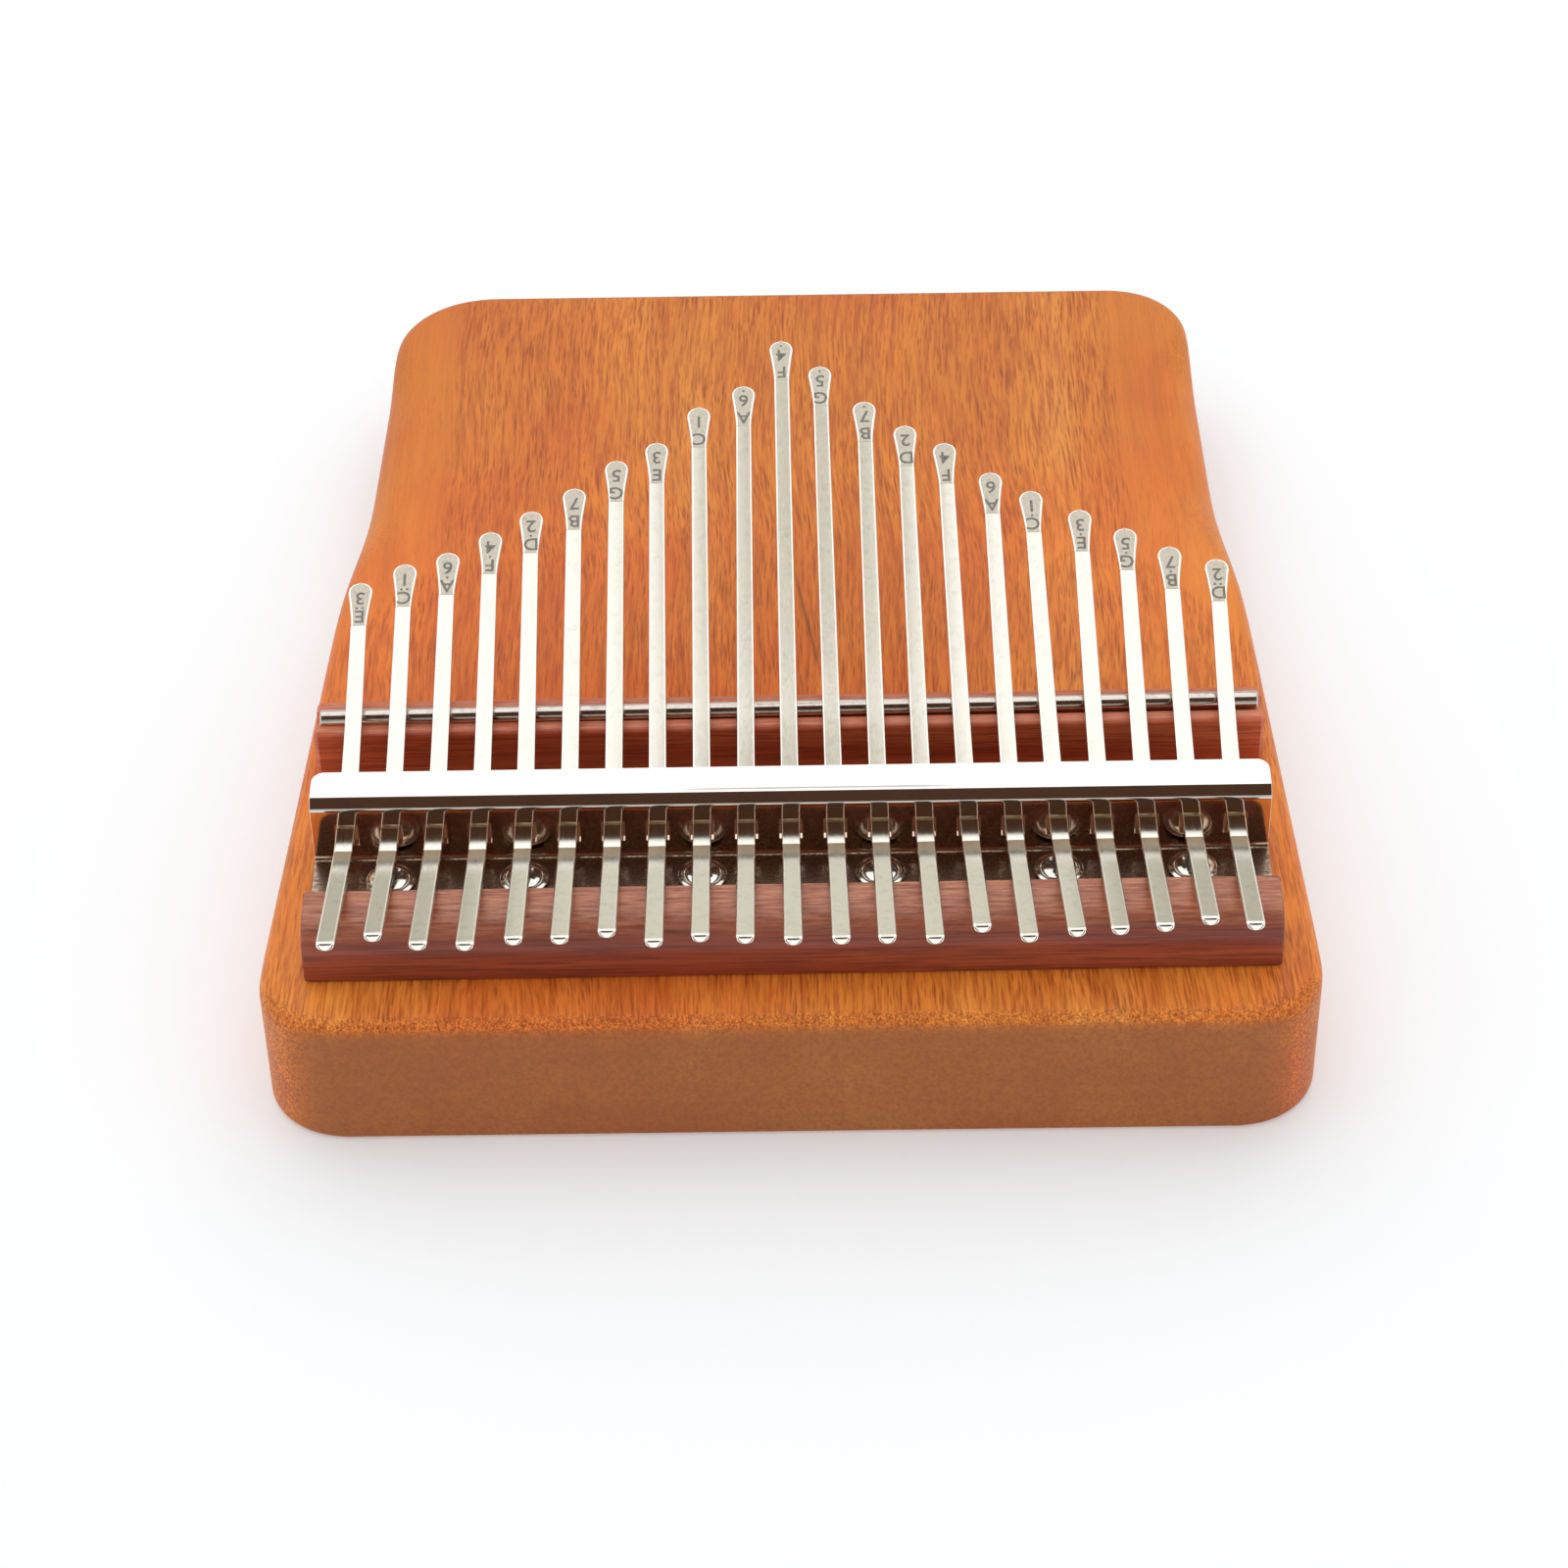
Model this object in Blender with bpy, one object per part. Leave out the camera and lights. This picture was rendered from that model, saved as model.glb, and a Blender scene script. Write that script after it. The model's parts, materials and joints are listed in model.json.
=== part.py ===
# Flat-board kalimba with 21 tines. A solid board carries a front bridge with a steel rod, a slotted
# Z-shaped pressure bracket held by six screws, and a rear bridge. Each tine is a straight strip that
# its slot presses down between the rear bridge and the rod, so its free end rises over the board.
# Sizes are in millimetres and degrees, and become metres where a mesh is made.
# +Y points to the playing tips, +X to the right seen from the tail end, and the board stands on Z = 0.

import math

import bmesh
import bpy
from mathutils import Matrix

mm = 0.001
seat_gap = 0.3

# Board
board_length = 182.7
board_thickness = 23.0
near_half_width = 78.3
near_waist_half_width = 73.25
far_waist_half_width = 69.95
far_half_width = 68.5
far_lean = 1.1
board_turn = 0.35
waist_start = 91.4
waist_length = 38.0
near_corner_radius = 12.0
far_right_corner_radius = 13.0
far_left_corner_radius = 16.0
edge_round = 2.9
bottom_round = 1.2
scoop_width = 13.0
scoop_depth = 6.0
scoop_start = 99.0
scoop_blend = 30.0
scoop_stop = 10.0
scoop_fade = 20.0
side_steps = 26
corner_steps = 8
round_steps = 6

# Front bridge and its rod
bridge_length = 144.4
bridge_depth = 7.9
bridge_height = 8.2
bridge_edge_round = 0.8
rod_diameter = 2.7
rod_length = 142.8
rod_from_web = 23.45
rod_behind_near_face = 3.7
rod_rise = 0.3
rod_end_chamfer = 0.3
rod_sides = 24

# Pressure bracket, its web placed by the middle of the sheet
bracket_length = 142.2
sheet = 1.2
web_from_near_end = 35.4
bend_radius = 1.4
bracket_height = 13.2
lower_flange = 11.0
top_flange = 4.9
flange_corner_radius = 2.0
slot_width = 3.5
slot_top_over_board = 8.2
slot_height = 4.5

# Rear bridge
rear_length = 141.8
rear_far_from_web = 16.2
rear_depth = 9.2
rear_height = 9.35
rear_far_round = 1.3
rear_near_round = 4.7
bar_chamfer = 0.5

# Screws
screw_tines = (2, 5, 9, 13, 17, 20)
screw_from_web = 6.0
head_diameter = 6.1
head_height = 0.9
rim_diameter = 7.3
rim_thickness = 0.4
shank_diameter = 3.0
shank_length = 12.0
shank_point = 2.0
screw_sides = 16

# Tines
tine_pitch = 6.6
tine_thickness = 1.0
tine_width = 2.75
tine_narrow_width = 2.42
edge_bevel = 0.2
tail_reach = 34.0
tail_end_round = 1.3
flare_length = 8.2
flare_width = 3.3
flare_thickness = 0.7
flare_ramp = 0.8
tip_round = 2.0

# The note of each tine in semitones over the lowest, from left to right. A tine's pitch falls with
# the square of its sounding length, which runs a little past the rod.
semitones = (35, 31, 28, 24, 21, 18, 14, 11, 7, 4, 0, 2, 6, 9, 12, 16, 19, 23, 26, 30, 33)
longest_sounding_length = 73.4
sounding_past_rod = 3.7
# How far each tine was filed off that length, and how far its tail stands out, in hundredths
tip_trim = (-1, 0, -2, -2, 0, 2, 2, 0, 1, -1, 1, -1, -1, -1, 1, 0, 0, 2, 0, 0, 0)
tail_trim = (1, -6, 2, 3, -1, -1, -6, 3, -1, 1, 3, 3, 3, 4, -5, 4, 0, -1, -3, -8, -3)
# How each tine lies askew in its slot, in degrees
tine_yaw = (-0.1, 0.1, 0.1, 0.0, -0.3, -0.2, -0.2, -0.4, -0.3, 0.1, -0.2,
            -0.5, -0.3, -0.5, -0.9, -0.6, -1.0, -0.2, 0.1, 0.2, 0.9)

# Places that follow from the sizes above
board_top = board_thickness
half_length = board_length / 2
waist_start_y = waist_start - half_length
waist_end_y = waist_start_y + waist_length
scoop_start_y = scoop_start - half_length
scoop_stop_y = half_length - scoop_stop
web_y = web_from_near_end - half_length
rod_y = web_y + rod_from_web
rear_far_y = web_y - rear_far_from_web
bar_bottom = board_top + seat_gap
bridge_top = bar_bottom + bridge_height
rear_top = bar_bottom + rear_height
rod_radius = rod_diameter / 2
rod_z = bridge_top + rod_rise
slot_top = board_top + slot_top_over_board
tine_web_z = slot_top - seat_gap - tine_thickness / 2


# The slots press each straight strip down between the rear bridge's far edge and the rod, so it
# bends like a beam held at three points. Finds the bearing points of the strip's middle line, the
# slope of the chord between them, the press below it at the web, and the angles of the two ends.
def sprung_strip():
    reach = seat_gap + tine_thickness / 2
    rear_reach = rear_far_round + reach
    rod_reach = rod_radius + reach
    down = up = 0.0
    for attempt in range(12):
        rear = (rear_far_y - rear_far_round + rear_reach * math.sin(down),
                rear_top - rear_far_round + rear_reach * math.cos(down))
        rod = (rod_y - rod_reach * math.sin(up), rod_z + rod_reach * math.cos(up))
        behind = web_y - rear[0]
        ahead = rod[0] - web_y
        chord = (rod[1] - rear[1]) / (behind + ahead)
        press = rear[1] + chord * behind - tine_web_z
        down = math.atan(press * (behind + 2 * ahead) / (2 * behind * ahead) - chord)
        up = math.atan(press * (2 * behind + ahead) / (2 * behind * ahead) + chord)
    return rear, rod, chord, press, down, up


strip_rear, strip_rod, strip_chord, strip_press, tail_angle, long_angle = sprung_strip()


def material(name, colour, roughness, metallic):
    made = bpy.data.materials.new(name)
    made.use_nodes = True
    shader = made.node_tree.nodes["Principled BSDF"]
    shader.inputs["Base Color"].default_value = (*colour, 1)
    shader.inputs["Roughness"].default_value = roughness
    shader.inputs["Metallic"].default_value = metallic
    return made


def add_object(name, bm, made_material, origin=(0, 0, 0)):
    bmesh.ops.remove_doubles(bm, verts=bm.verts, dist=1e-5)
    bmesh.ops.translate(bm, verts=bm.verts, vec=[-value for value in origin])
    bmesh.ops.scale(bm, verts=bm.verts, vec=(mm, mm, mm))
    bmesh.ops.recalc_face_normals(bm, faces=bm.faces)
    mesh = bpy.data.meshes.new(name)
    bm.to_mesh(mesh)
    bm.free()
    mesh.shade_smooth()
    mesh.set_sharp_from_angle(angle=math.radians(32))
    obj = bpy.data.objects.new(name, mesh)
    obj.location = [value * mm for value in origin]
    if made_material:
        mesh.materials.append(made_material)
    bpy.context.scene.collection.objects.link(obj)
    return obj


def cut(target, name, bm):
    cutter = add_object(name, bm, None)
    cutter.hide_render = True
    cutter.display_type = "WIRE"
    boolean = target.modifiers.new(name, "BOOLEAN")
    boolean.operation = "DIFFERENCE"
    boolean.solver = "EXACT"
    boolean.object = cutter


# Joins rings of equal point counts into one closed body with flat ends
def loft(bm, rings):
    loops = [[bm.verts.new(point) for point in ring] for ring in rings]
    for first, second in zip(loops, loops[1:]):
        for index in range(len(first)):
            after = (index + 1) % len(first)
            bm.faces.new((first[index], first[after], second[after], second[index]))
    bm.faces.new(loops[0])
    bm.faces.new(loops[-1])


# Outward unit direction at each point of an anticlockwise outline, with the mitre factor in it
def outline_normals(outline):
    normals = []
    for index, (u, v) in enumerate(outline):
        before = outline[index - 1]
        after = outline[(index + 1) % len(outline)]
        first = math.atan2(v - before[1], u - before[0])
        second = math.atan2(after[1] - v, after[0] - u)
        turn = (second - first + math.pi) % (2 * math.pi) - math.pi
        middle = first + turn / 2 - math.pi / 2
        mitre = 1 / max(math.cos(turn / 2), 0.5)
        normals.append((math.cos(middle) * mitre, math.sin(middle) * mitre))
    return normals


def arc(centre, radius, start, end, steps):
    points = []
    for step in range(steps + 1):
        angle = math.radians(start + (end - start) * step / steps)
        points.append((centre[0] + radius * math.cos(angle), centre[1] + radius * math.sin(angle)))
    return points


# A bar along X with the given Y-Z outline, its end edges taken off by one or more facets
def bar(bm, outline, length, rounding, steps=1):
    normals = outline_normals(outline)
    half = length / 2
    right = []
    for step in range(steps + 1):
        turn = math.radians(90 * step / steps)
        inset = rounding * (1 - math.cos(turn))
        x = half - rounding * (1 - math.sin(turn))
        right.append([(x, y - n * inset, z - m * inset) for (y, z), (n, m) in zip(outline, normals)])
    left = [[(-x, y, z) for x, y, z in ring] for ring in reversed(right)]
    loft(bm, left + right)


# A turned piece about a vertical axis, from a profile of radius and height that starts and ends on it
def turned(bm, centre, profile, segments):
    rings = []
    for radius, z in profile:
        ring = []
        for step in range(segments):
            angle = 2 * math.pi * step / segments
            ring.append((centre[0] + radius * math.cos(angle), centre[1] + radius * math.sin(angle), z))
        rings.append(ring)
    loft(bm, rings)


def box(bm, low, high):
    rings = []
    for z in (low[2], high[2]):
        rings.append([(low[0], low[1], z), (high[0], low[1], z), (high[0], high[1], z), (low[0], high[1], z)])
    loft(bm, rings)


# Height or width that eases from one value to another between two places
def eased(value, start, end, first, second):
    share = min(max((value - start) / (end - start), 0), 1)
    share = share * share * (3 - 2 * share)
    return first + (second - first) * share


# The board narrows slowly to a waist, draws in over it, and runs on nearly straight. It is cut by
# hand, so its far end leans to the right a little, and the board lies a third of a degree askew.
def half_width(y):
    near_slope = (near_waist_half_width - near_half_width) / (waist_start_y + half_length)
    far_slope = (far_half_width - far_waist_half_width) / (half_length - waist_end_y)
    near_line = near_waist_half_width + near_slope * (y - waist_start_y)
    far_line = far_waist_half_width + far_slope * (y - waist_end_y)
    return near_line + (far_line - near_line) * eased(y, waist_start_y, waist_end_y, 0, 1)


def board_side(far_radius):
    near_y = near_corner_radius - half_length
    far_y = half_length - far_radius
    side = arc((half_width(near_y) - near_corner_radius, near_y), near_corner_radius, -90, 0, corner_steps)
    for step in range(1, side_steps):
        y = near_y + (far_y - near_y) * step / side_steps
        side.append((half_width(y), y))
    return side + arc((half_width(far_y) - far_radius, far_y), far_radius, 0, 90, corner_steps)


def board_outline():
    right = board_side(far_right_corner_radius)
    left = [(-x, y) for x, y in reversed(board_side(far_left_corner_radius))]
    return [(x + far_lean * (0.5 + y / board_length), y) for x, y in right + left]


# Width or depth of the top edge's rounding: small all round, broad where the thumbs reach in
def top_round(y, side_share, broad):
    rising = eased(y, scoop_start_y, scoop_start_y + scoop_blend, 0, 1)
    fading = eased(y, scoop_stop_y - scoop_fade, scoop_stop_y, 1, 0)
    return edge_round + (broad - edge_round) * rising * fading * side_share


def build_board(wood):
    bm = bmesh.new()
    outline = board_outline()
    normals = outline_normals(outline)
    rings = []
    for step in range(3):
        turn = math.radians(90 * step / 2)
        inset = bottom_round * (1 - math.sin(turn))
        z = bottom_round * (1 - math.cos(turn))
        rings.append([(x - n * inset, y - m * inset, z) for (x, y), (n, m) in zip(outline, normals)])
    for step in range(round_steps + 1):
        turn = math.radians(90 * step / round_steps)
        ring = []
        for (x, y), (n, m) in zip(outline, normals):
            side_share = min(abs(n), 1) ** 4
            inset = top_round(y, side_share, scoop_width) * (1 - math.cos(turn))
            drop = top_round(y, side_share, scoop_depth) * (1 - math.sin(turn))
            ring.append((x - n * inset, y - m * inset, board_top - drop))
        rings.append(ring)
    loft(bm, rings)
    askew = Matrix.Rotation(-math.radians(board_turn), 3, "Z")
    bmesh.ops.rotate(bm, verts=bm.verts, cent=(0, 0, 0), matrix=askew)
    board = add_object("body_board", bm, wood)
    holes = bmesh.new()
    for number in screw_tines:
        radius = shank_diameter / 2 + seat_gap
        bottom = board_top - shank_length
        turned(holes, screw_place(number), ((radius, bottom), (radius, board_top + edge_round)), screw_sides)
    cut(board, "screw_holes", holes)


def build_front_bridge(wood):
    near = rod_y - rod_behind_near_face
    far = near + bridge_depth
    groove = rod_radius + seat_gap
    dip = math.degrees(math.asin(rod_rise / groove))
    r = bridge_edge_round
    outline = [(near, bar_bottom), (far, bar_bottom)]
    outline += arc((far - r, bridge_top - r), r, 0, 90, 4)
    outline += arc((rod_y, rod_z), groove, -dip, dip - 180, 12)
    outline += arc((near + r, bridge_top - r), r, 90, 180, 4)
    bm = bmesh.new()
    bar(bm, outline, bridge_length, bar_chamfer)
    add_object("front_bridge", bm, wood)


def build_rod(steel):
    bm = bmesh.new()
    outline = arc((rod_y, rod_z), rod_radius, 0, 360, rod_sides)[:-1]
    bar(bm, outline, rod_length, rod_end_chamfer)
    add_object("bridge_rod", bm, steel)


# The sheet's middle line as (y, z, heading), from the lower flange's edge up to the top flange's edge
def bracket_path():
    low = bar_bottom + sheet / 2
    high = bar_bottom + bracket_height - sheet / 2
    path = [(web_y - lower_flange, low, 0)]
    for step in range(6):
        heading = 90 * step / 5
        turn = math.radians(heading)
        path.append((web_y - bend_radius * (1 - math.sin(turn)), low + bend_radius * (1 - math.cos(turn)), heading))
    for step in range(6):
        heading = 90 - 90 * step / 5
        turn = math.radians(heading)
        path.append((web_y + bend_radius * (1 - math.sin(turn)), high - bend_radius * (1 - math.cos(turn)), heading))
    path.append((web_y + top_flange, high, 0))
    return path


def sheet_side(path, distance):
    side = []
    for y, z, heading in path:
        turn = math.radians(heading)
        side.append((y - math.sin(turn) * distance, z + math.cos(turn) * distance))
    return side


# What is left outside a rounded flange corner at (x, y), where the flange lies towards the sx, sy side
def corner_waste(bm, x, y, sx, sy, low, high):
    r = flange_corner_radius
    over = 1.0
    ring = [(x - sx * over, y - sy * over), (x + sx * r, y - sy * over)]
    for step in range(7):
        turn = math.radians(90 * step / 6)
        ring.append((x + sx * r * (1 - math.sin(turn)), y + sy * r * (1 - math.cos(turn))))
    ring.append((x - sx * over, y + sy * r))
    loft(bm, [[(u, v, z) for u, v in ring] for z in (low, high)])


def build_bracket(steel):
    path = bracket_path()
    outline = sheet_side(path, -sheet / 2) + sheet_side(path, sheet / 2)[::-1]
    bm = bmesh.new()
    bar(bm, outline, bracket_length, sheet / 5)
    bracket = add_object("pressure_bracket", bm, steel)
    slots = bmesh.new()
    slot_bottom = slot_top - slot_height
    for number in range(1, len(semitones) + 1):
        x = tine_x(number)
        low = (x - slot_width / 2, web_y - sheet, slot_bottom)
        box(slots, low, (x + slot_width / 2, web_y + sheet, slot_top))
    cut(bracket, "tine_slots", slots)
    waste = bmesh.new()
    for sx in (-1, 1):
        x = -sx * bracket_length / 2
        flange_bottom = bar_bottom + bracket_height - 2 * sheet
        corner_waste(waste, x, web_y + top_flange, sx, -1, flange_bottom, flange_bottom + 3 * sheet)
        corner_waste(waste, x, web_y - lower_flange, sx, 1, bar_bottom - sheet, bar_bottom + 2 * sheet)
    for number in screw_tines:
        radius = shank_diameter / 2 + seat_gap
        heights = (bar_bottom - sheet, bar_bottom + 2 * sheet)
        turned(waste, screw_place(number), [(radius, z) for z in heights], screw_sides)
    cut(bracket, "flange_cuts", waste)


def build_rear_bridge(wood):
    near = rear_far_y - rear_depth
    outline = [(near, bar_bottom), (rear_far_y, bar_bottom)]
    outline += arc((rear_far_y - rear_far_round, rear_top - rear_far_round), rear_far_round, 0, 90, 5)
    outline += arc((near + rear_near_round, rear_top - rear_near_round), rear_near_round, 90, 180, 9)
    bm = bmesh.new()
    bar(bm, outline, rear_length, bar_chamfer, 2)
    add_object("rear_bridge", bm, wood)


def tine_x(number):
    return (number - (len(semitones) + 1) / 2) * tine_pitch


def screw_place(number):
    return (tine_x(number), web_y - screw_from_web)


def build_screw(index, number, steel):
    under = bar_bottom + sheet + seat_gap
    rim_top = under + rim_thickness
    rim = rim_diameter / 2
    head = head_diameter / 2
    shank = shank_diameter / 2
    point = shank / 5
    profile = [(point, under - shank_length), (shank, under - shank_length + shank_point), (shank, under)]
    profile += [(rim, under), (rim, rim_top), (head, rim_top)]
    for step in range(1, 5):
        turn = math.radians(90 * step / 5)
        profile.append((head * math.cos(turn), rim_top + head_height * math.sin(turn)))
    bm = bmesh.new()
    place = screw_place(number)
    turned(bm, place, profile, screw_sides)
    add_object("screw_%d" % index, bm, steel, (*place, under))


# Height and heading of the strip's middle line at a place along Y: straight past both bearing
# points, and the three-point bending curve between them
def tine_point(y):
    if y <= strip_rear[0]:
        return strip_rear[1] - (y - strip_rear[0]) * math.tan(tail_angle), -tail_angle
    if y >= strip_rod[0]:
        return strip_rod[1] + (y - strip_rod[0]) * math.tan(long_angle), long_angle
    behind = web_y - strip_rear[0]
    ahead = strip_rod[0] - web_y
    side = -1 if y <= web_y else 1
    near, far = (behind, ahead) if side < 0 else (ahead, behind)
    run = y - strip_rear[0] if side < 0 else strip_rod[0] - y
    stiff = strip_press / (2 * near * near * far)
    span = near * near + 2 * near * far
    z = strip_rear[1] + strip_chord * (y - strip_rear[0]) - stiff * run * (span - run * run)
    return z, math.atan(strip_chord + side * stiff * (span - 3 * run * run))


def free_length(number):
    sounding = longest_sounding_length * 2 ** (-semitones[number - 1] / 24)
    return (sounding - sounding_past_rod) * (1 + tip_trim[number - 1] / 100)


# Places along Y with the tine's width and thickness there, from the tail's end to the tip
def tine_stations(number):
    tail = web_y - tail_reach * (1 + tail_trim[number - 1] / 100)
    level = math.cos(long_angle)
    tip = rod_y + free_length(number) * level
    flare = tip - flare_length * level
    widest = tip - tip_round * level
    stations = []
    for degrees in (20, 45, 68, 90):
        turn = math.radians(degrees)
        stations.append((tail + tail_end_round * (1 - math.cos(turn)), tine_width * math.sin(turn), tine_thickness))
    for share in (0, 0.25, 0.45, 0.65, 0.83, 1):
        stations.append((strip_rear[0] + (web_y - strip_rear[0]) * share, tine_width, tine_thickness))
    for share in (0.17, 0.35, 0.55, 0.75, 1):
        stations.append((web_y + (strip_rod[0] - web_y) * share, tine_width, tine_thickness))
    stations.append((flare - flare_ramp, tine_narrow_width, tine_thickness))
    for step in range(4):
        share = step / 3
        width = tine_narrow_width + (flare_width - tine_narrow_width) * share ** 1.4
        stations.append((flare + (widest - flare) * share, width, flare_thickness))
    for degrees in (25, 48, 68, 84):
        turn = math.radians(degrees)
        stations.append((widest + tip_round * level * math.sin(turn), flare_width * math.cos(turn) ** 0.85, flare_thickness))
    return stations


# A strip with its edges bevelled all round: its outline is stacked at four levels of its thickness
def build_tine(number, steel):
    stations = tine_stations(number)
    thicknesses = [thickness for y, width, thickness in stations]
    outline = [(width / 2, y) for y, width, thickness in stations]
    outline += [(-x, y) for x, y in reversed(outline)]
    thicknesses += reversed(thicknesses)
    normals = outline_normals(outline)
    yaw = -math.radians(tine_yaw[number - 1])
    bm = bmesh.new()
    levels = []
    for at_top, bevelled in ((False, True), (False, False), (True, False), (True, True)):
        level = []
        for (x, y), (n, m), thickness in zip(outline, normals, thicknesses):
            inset = min(edge_bevel, abs(x) * 0.6) if bevelled else 0
            up = -tine_thickness / 2 + (thickness if at_top else 0)
            if not bevelled:
                up += -edge_bevel if at_top else edge_bevel
            across = x - n * inset
            z, heading = tine_point(y - m * inset)
            along = y - m * inset - math.sin(heading) * up - web_y
            place = (tine_x(number) + across * math.cos(yaw) - along * math.sin(yaw),
                     web_y + across * math.sin(yaw) + along * math.cos(yaw), z + math.cos(heading) * up)
            level.append(bm.verts.new(place))
        levels.append(level)
    count = len(outline)
    for lower, upper in zip(levels, levels[1:]):
        for index in range(count):
            after = (index + 1) % count
            bm.faces.new((lower[index], lower[after], upper[after], upper[index]))
    for level in (levels[0], levels[-1]):
        for index in range(len(stations) - 1):
            bm.faces.new((level[index], level[index + 1], level[count - 2 - index], level[count - 1 - index]))
    axis_x = tine_x(number) - rod_from_web * math.tan(yaw)
    add_object("tine_%02d" % number, bm, steel, (axis_x, rod_y, rod_z))


def main():
    for obj in list(bpy.data.objects):
        bpy.data.objects.remove(obj)
    build_board(material("oiled_mahogany", (0.36, 0.12, 0.045), 0.45, 0))
    build_front_bridge(material("dark_bridge_wood", (0.19, 0.06, 0.03), 0.5, 0))
    build_rear_bridge(material("dark_rear_wood", (0.19, 0.06, 0.03), 0.5, 0))
    build_rod(material("ground_steel", (0.7, 0.7, 0.68), 0.2, 1))
    build_bracket(material("polished_chrome", (0.8, 0.8, 0.79), 0.12, 1))
    screw_steel = material("plated_screw", (0.62, 0.6, 0.56), 0.25, 1)
    for index, number in enumerate(screw_tines, 1):
        build_screw(index, number, screw_steel)
    tine_steel = material("spring_steel", (0.6, 0.61, 0.58), 0.32, 1)
    for number in range(1, len(semitones) + 1):
        build_tine(number, tine_steel)


main()
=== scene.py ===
import json
import math

import bmesh
import bpy
from mathutils import Matrix, Vector


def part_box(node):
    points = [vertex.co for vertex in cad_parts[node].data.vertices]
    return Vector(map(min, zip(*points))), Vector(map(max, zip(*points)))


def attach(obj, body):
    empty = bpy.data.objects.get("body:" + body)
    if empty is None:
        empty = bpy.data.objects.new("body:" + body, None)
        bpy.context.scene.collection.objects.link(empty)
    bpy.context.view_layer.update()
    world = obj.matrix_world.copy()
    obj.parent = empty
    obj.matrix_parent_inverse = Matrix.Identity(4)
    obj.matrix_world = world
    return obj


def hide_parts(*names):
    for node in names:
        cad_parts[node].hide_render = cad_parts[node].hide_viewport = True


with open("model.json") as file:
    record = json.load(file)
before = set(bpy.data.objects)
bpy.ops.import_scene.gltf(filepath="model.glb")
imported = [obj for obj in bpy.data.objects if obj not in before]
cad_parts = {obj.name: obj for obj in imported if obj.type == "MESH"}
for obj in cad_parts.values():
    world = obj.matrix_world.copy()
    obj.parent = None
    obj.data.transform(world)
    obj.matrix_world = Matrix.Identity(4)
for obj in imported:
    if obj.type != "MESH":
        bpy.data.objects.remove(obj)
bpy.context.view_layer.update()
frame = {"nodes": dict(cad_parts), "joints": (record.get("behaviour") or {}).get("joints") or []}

# lengths are in millimetres and turn into metres where a mesh is made; +Y points to the playing tips
mm = 0.001


def linear(hexColour):
    parts = [int(hexColour[i:i + 2], 16) / 255 for i in (1, 3, 5)]
    return (*[p / 12.92 if p < 0.04045 else ((p + 0.055) / 1.055) ** 2.4 for p in parts], 1)


# sets inputs by name or in order from numbers, sockets, or nodes, which stand for their output
def setInputs(node, inputs):
    for key, value in (inputs.items() if isinstance(inputs, dict) else enumerate(inputs)):
        if isinstance(value, bpy.types.Node):
            value = next(output for output in value.outputs if output.enabled)
        if isinstance(value, bpy.types.NodeSocket):
            node.id_data.links.new(value, node.inputs[key])
        else:
            node.inputs[key].default_value = value


# adds a shader node with its settings, its inputs and a ramp's stops
def addNode(tree, kind, inputs=(), stops=(), **settings):
    made = tree.nodes.new("ShaderNode" + kind)
    for key, value in settings.items():
        setattr(made, key, value)
    setInputs(made, inputs)
    if stops:
        elements = made.color_ramp.elements
        while len(elements) < len(stops):
            elements.new(0.5)
        for element, (place, colour) in zip(elements, stops):
            element.position = place
            element.color = linear(colour)
    return made


def newMaterial(name, inputs):
    made = bpy.data.materials.new(name)
    made.use_nodes = True
    tree = made.node_tree
    shader = tree.nodes["Principled BSDF"]
    setInputs(shader, inputs)
    return made, tree, shader


# the scale of a pattern whose cells have these sizes along X, Y and Z
def scaleFor(sizes):
    return [1 / size for size in sizes]


# low and high corners of a CAD node in millimetres
def boxOf(name):
    low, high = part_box(name)
    return low / mm, high / mm


# oiled mahogany, sanded: the oil brings out long bands, fine fibres and short dark open pores, which
# run along Y; the end grain is speckled where it is rounded over; painted shade darkens the sawn ends and the
# strip under the bracket, and painted light lifts the tail end
boardWood = dict(roughness=0.46, wander=7, wanderLength=55.56,
                 bandSize=(15, 330, 15), patch=48,
                 redBands=[(0.28, "#CE6728"), (0.45, "#D67029"), (0.58, "#DD7A2D"), (0.75, "#E68638")],
                 yellowBands=[(0.28, "#D5782A"), (0.45, "#DC812F"), (0.58, "#E28B37"), (0.75, "#E99746")],
                 stripeSize=(2.1, 160, 2.1), stripeDepth=0.08,
                 fibreSize=(0.66, 11, 0.66), fibreDepth=0.62, fibreColour="#AA4511",
                 tailLight=1.27, tailLightFade=(-15, 55),
                 pores=[dict(size=(0.62, 12, 0.62), width=0.32, depth=0.75),
                        dict(size=(0.48, 4.5, 0.48), width=0.26, depth=0.62)],
                 poreColour="#8E3A0A", poreFade=11,
                 scoops=dict(inner=54.8, outer=57.0, slant=1.33, start=89.1, soft=2.5, smoothness=0.75),
                 figure=[dict(x=-55.2, lean=0.0, width=0.55, start=38, stop=72, depth=0.16),
                         dict(x=3.0, lean=-0.15, width=0.45, start=-16, stop=13, depth=0.5),
                         dict(x=26.4, lean=0.01, width=0.8, start=-22, stop=44, depth=0.28)], figureFade=6,
                 speckle=0.3, speckleDepth=0.42,
                 sawSize=(83.33, 10, 2.5), sawMarks=0.07,
                 sawnShadeColour="#A86A40", sawnShadeShare=0.45, sawnShade=0.58,
                 bracketShade=dict(y=-47.5, halfWidth=9, halfLength=69, soft=2, shade=0.3))


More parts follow.
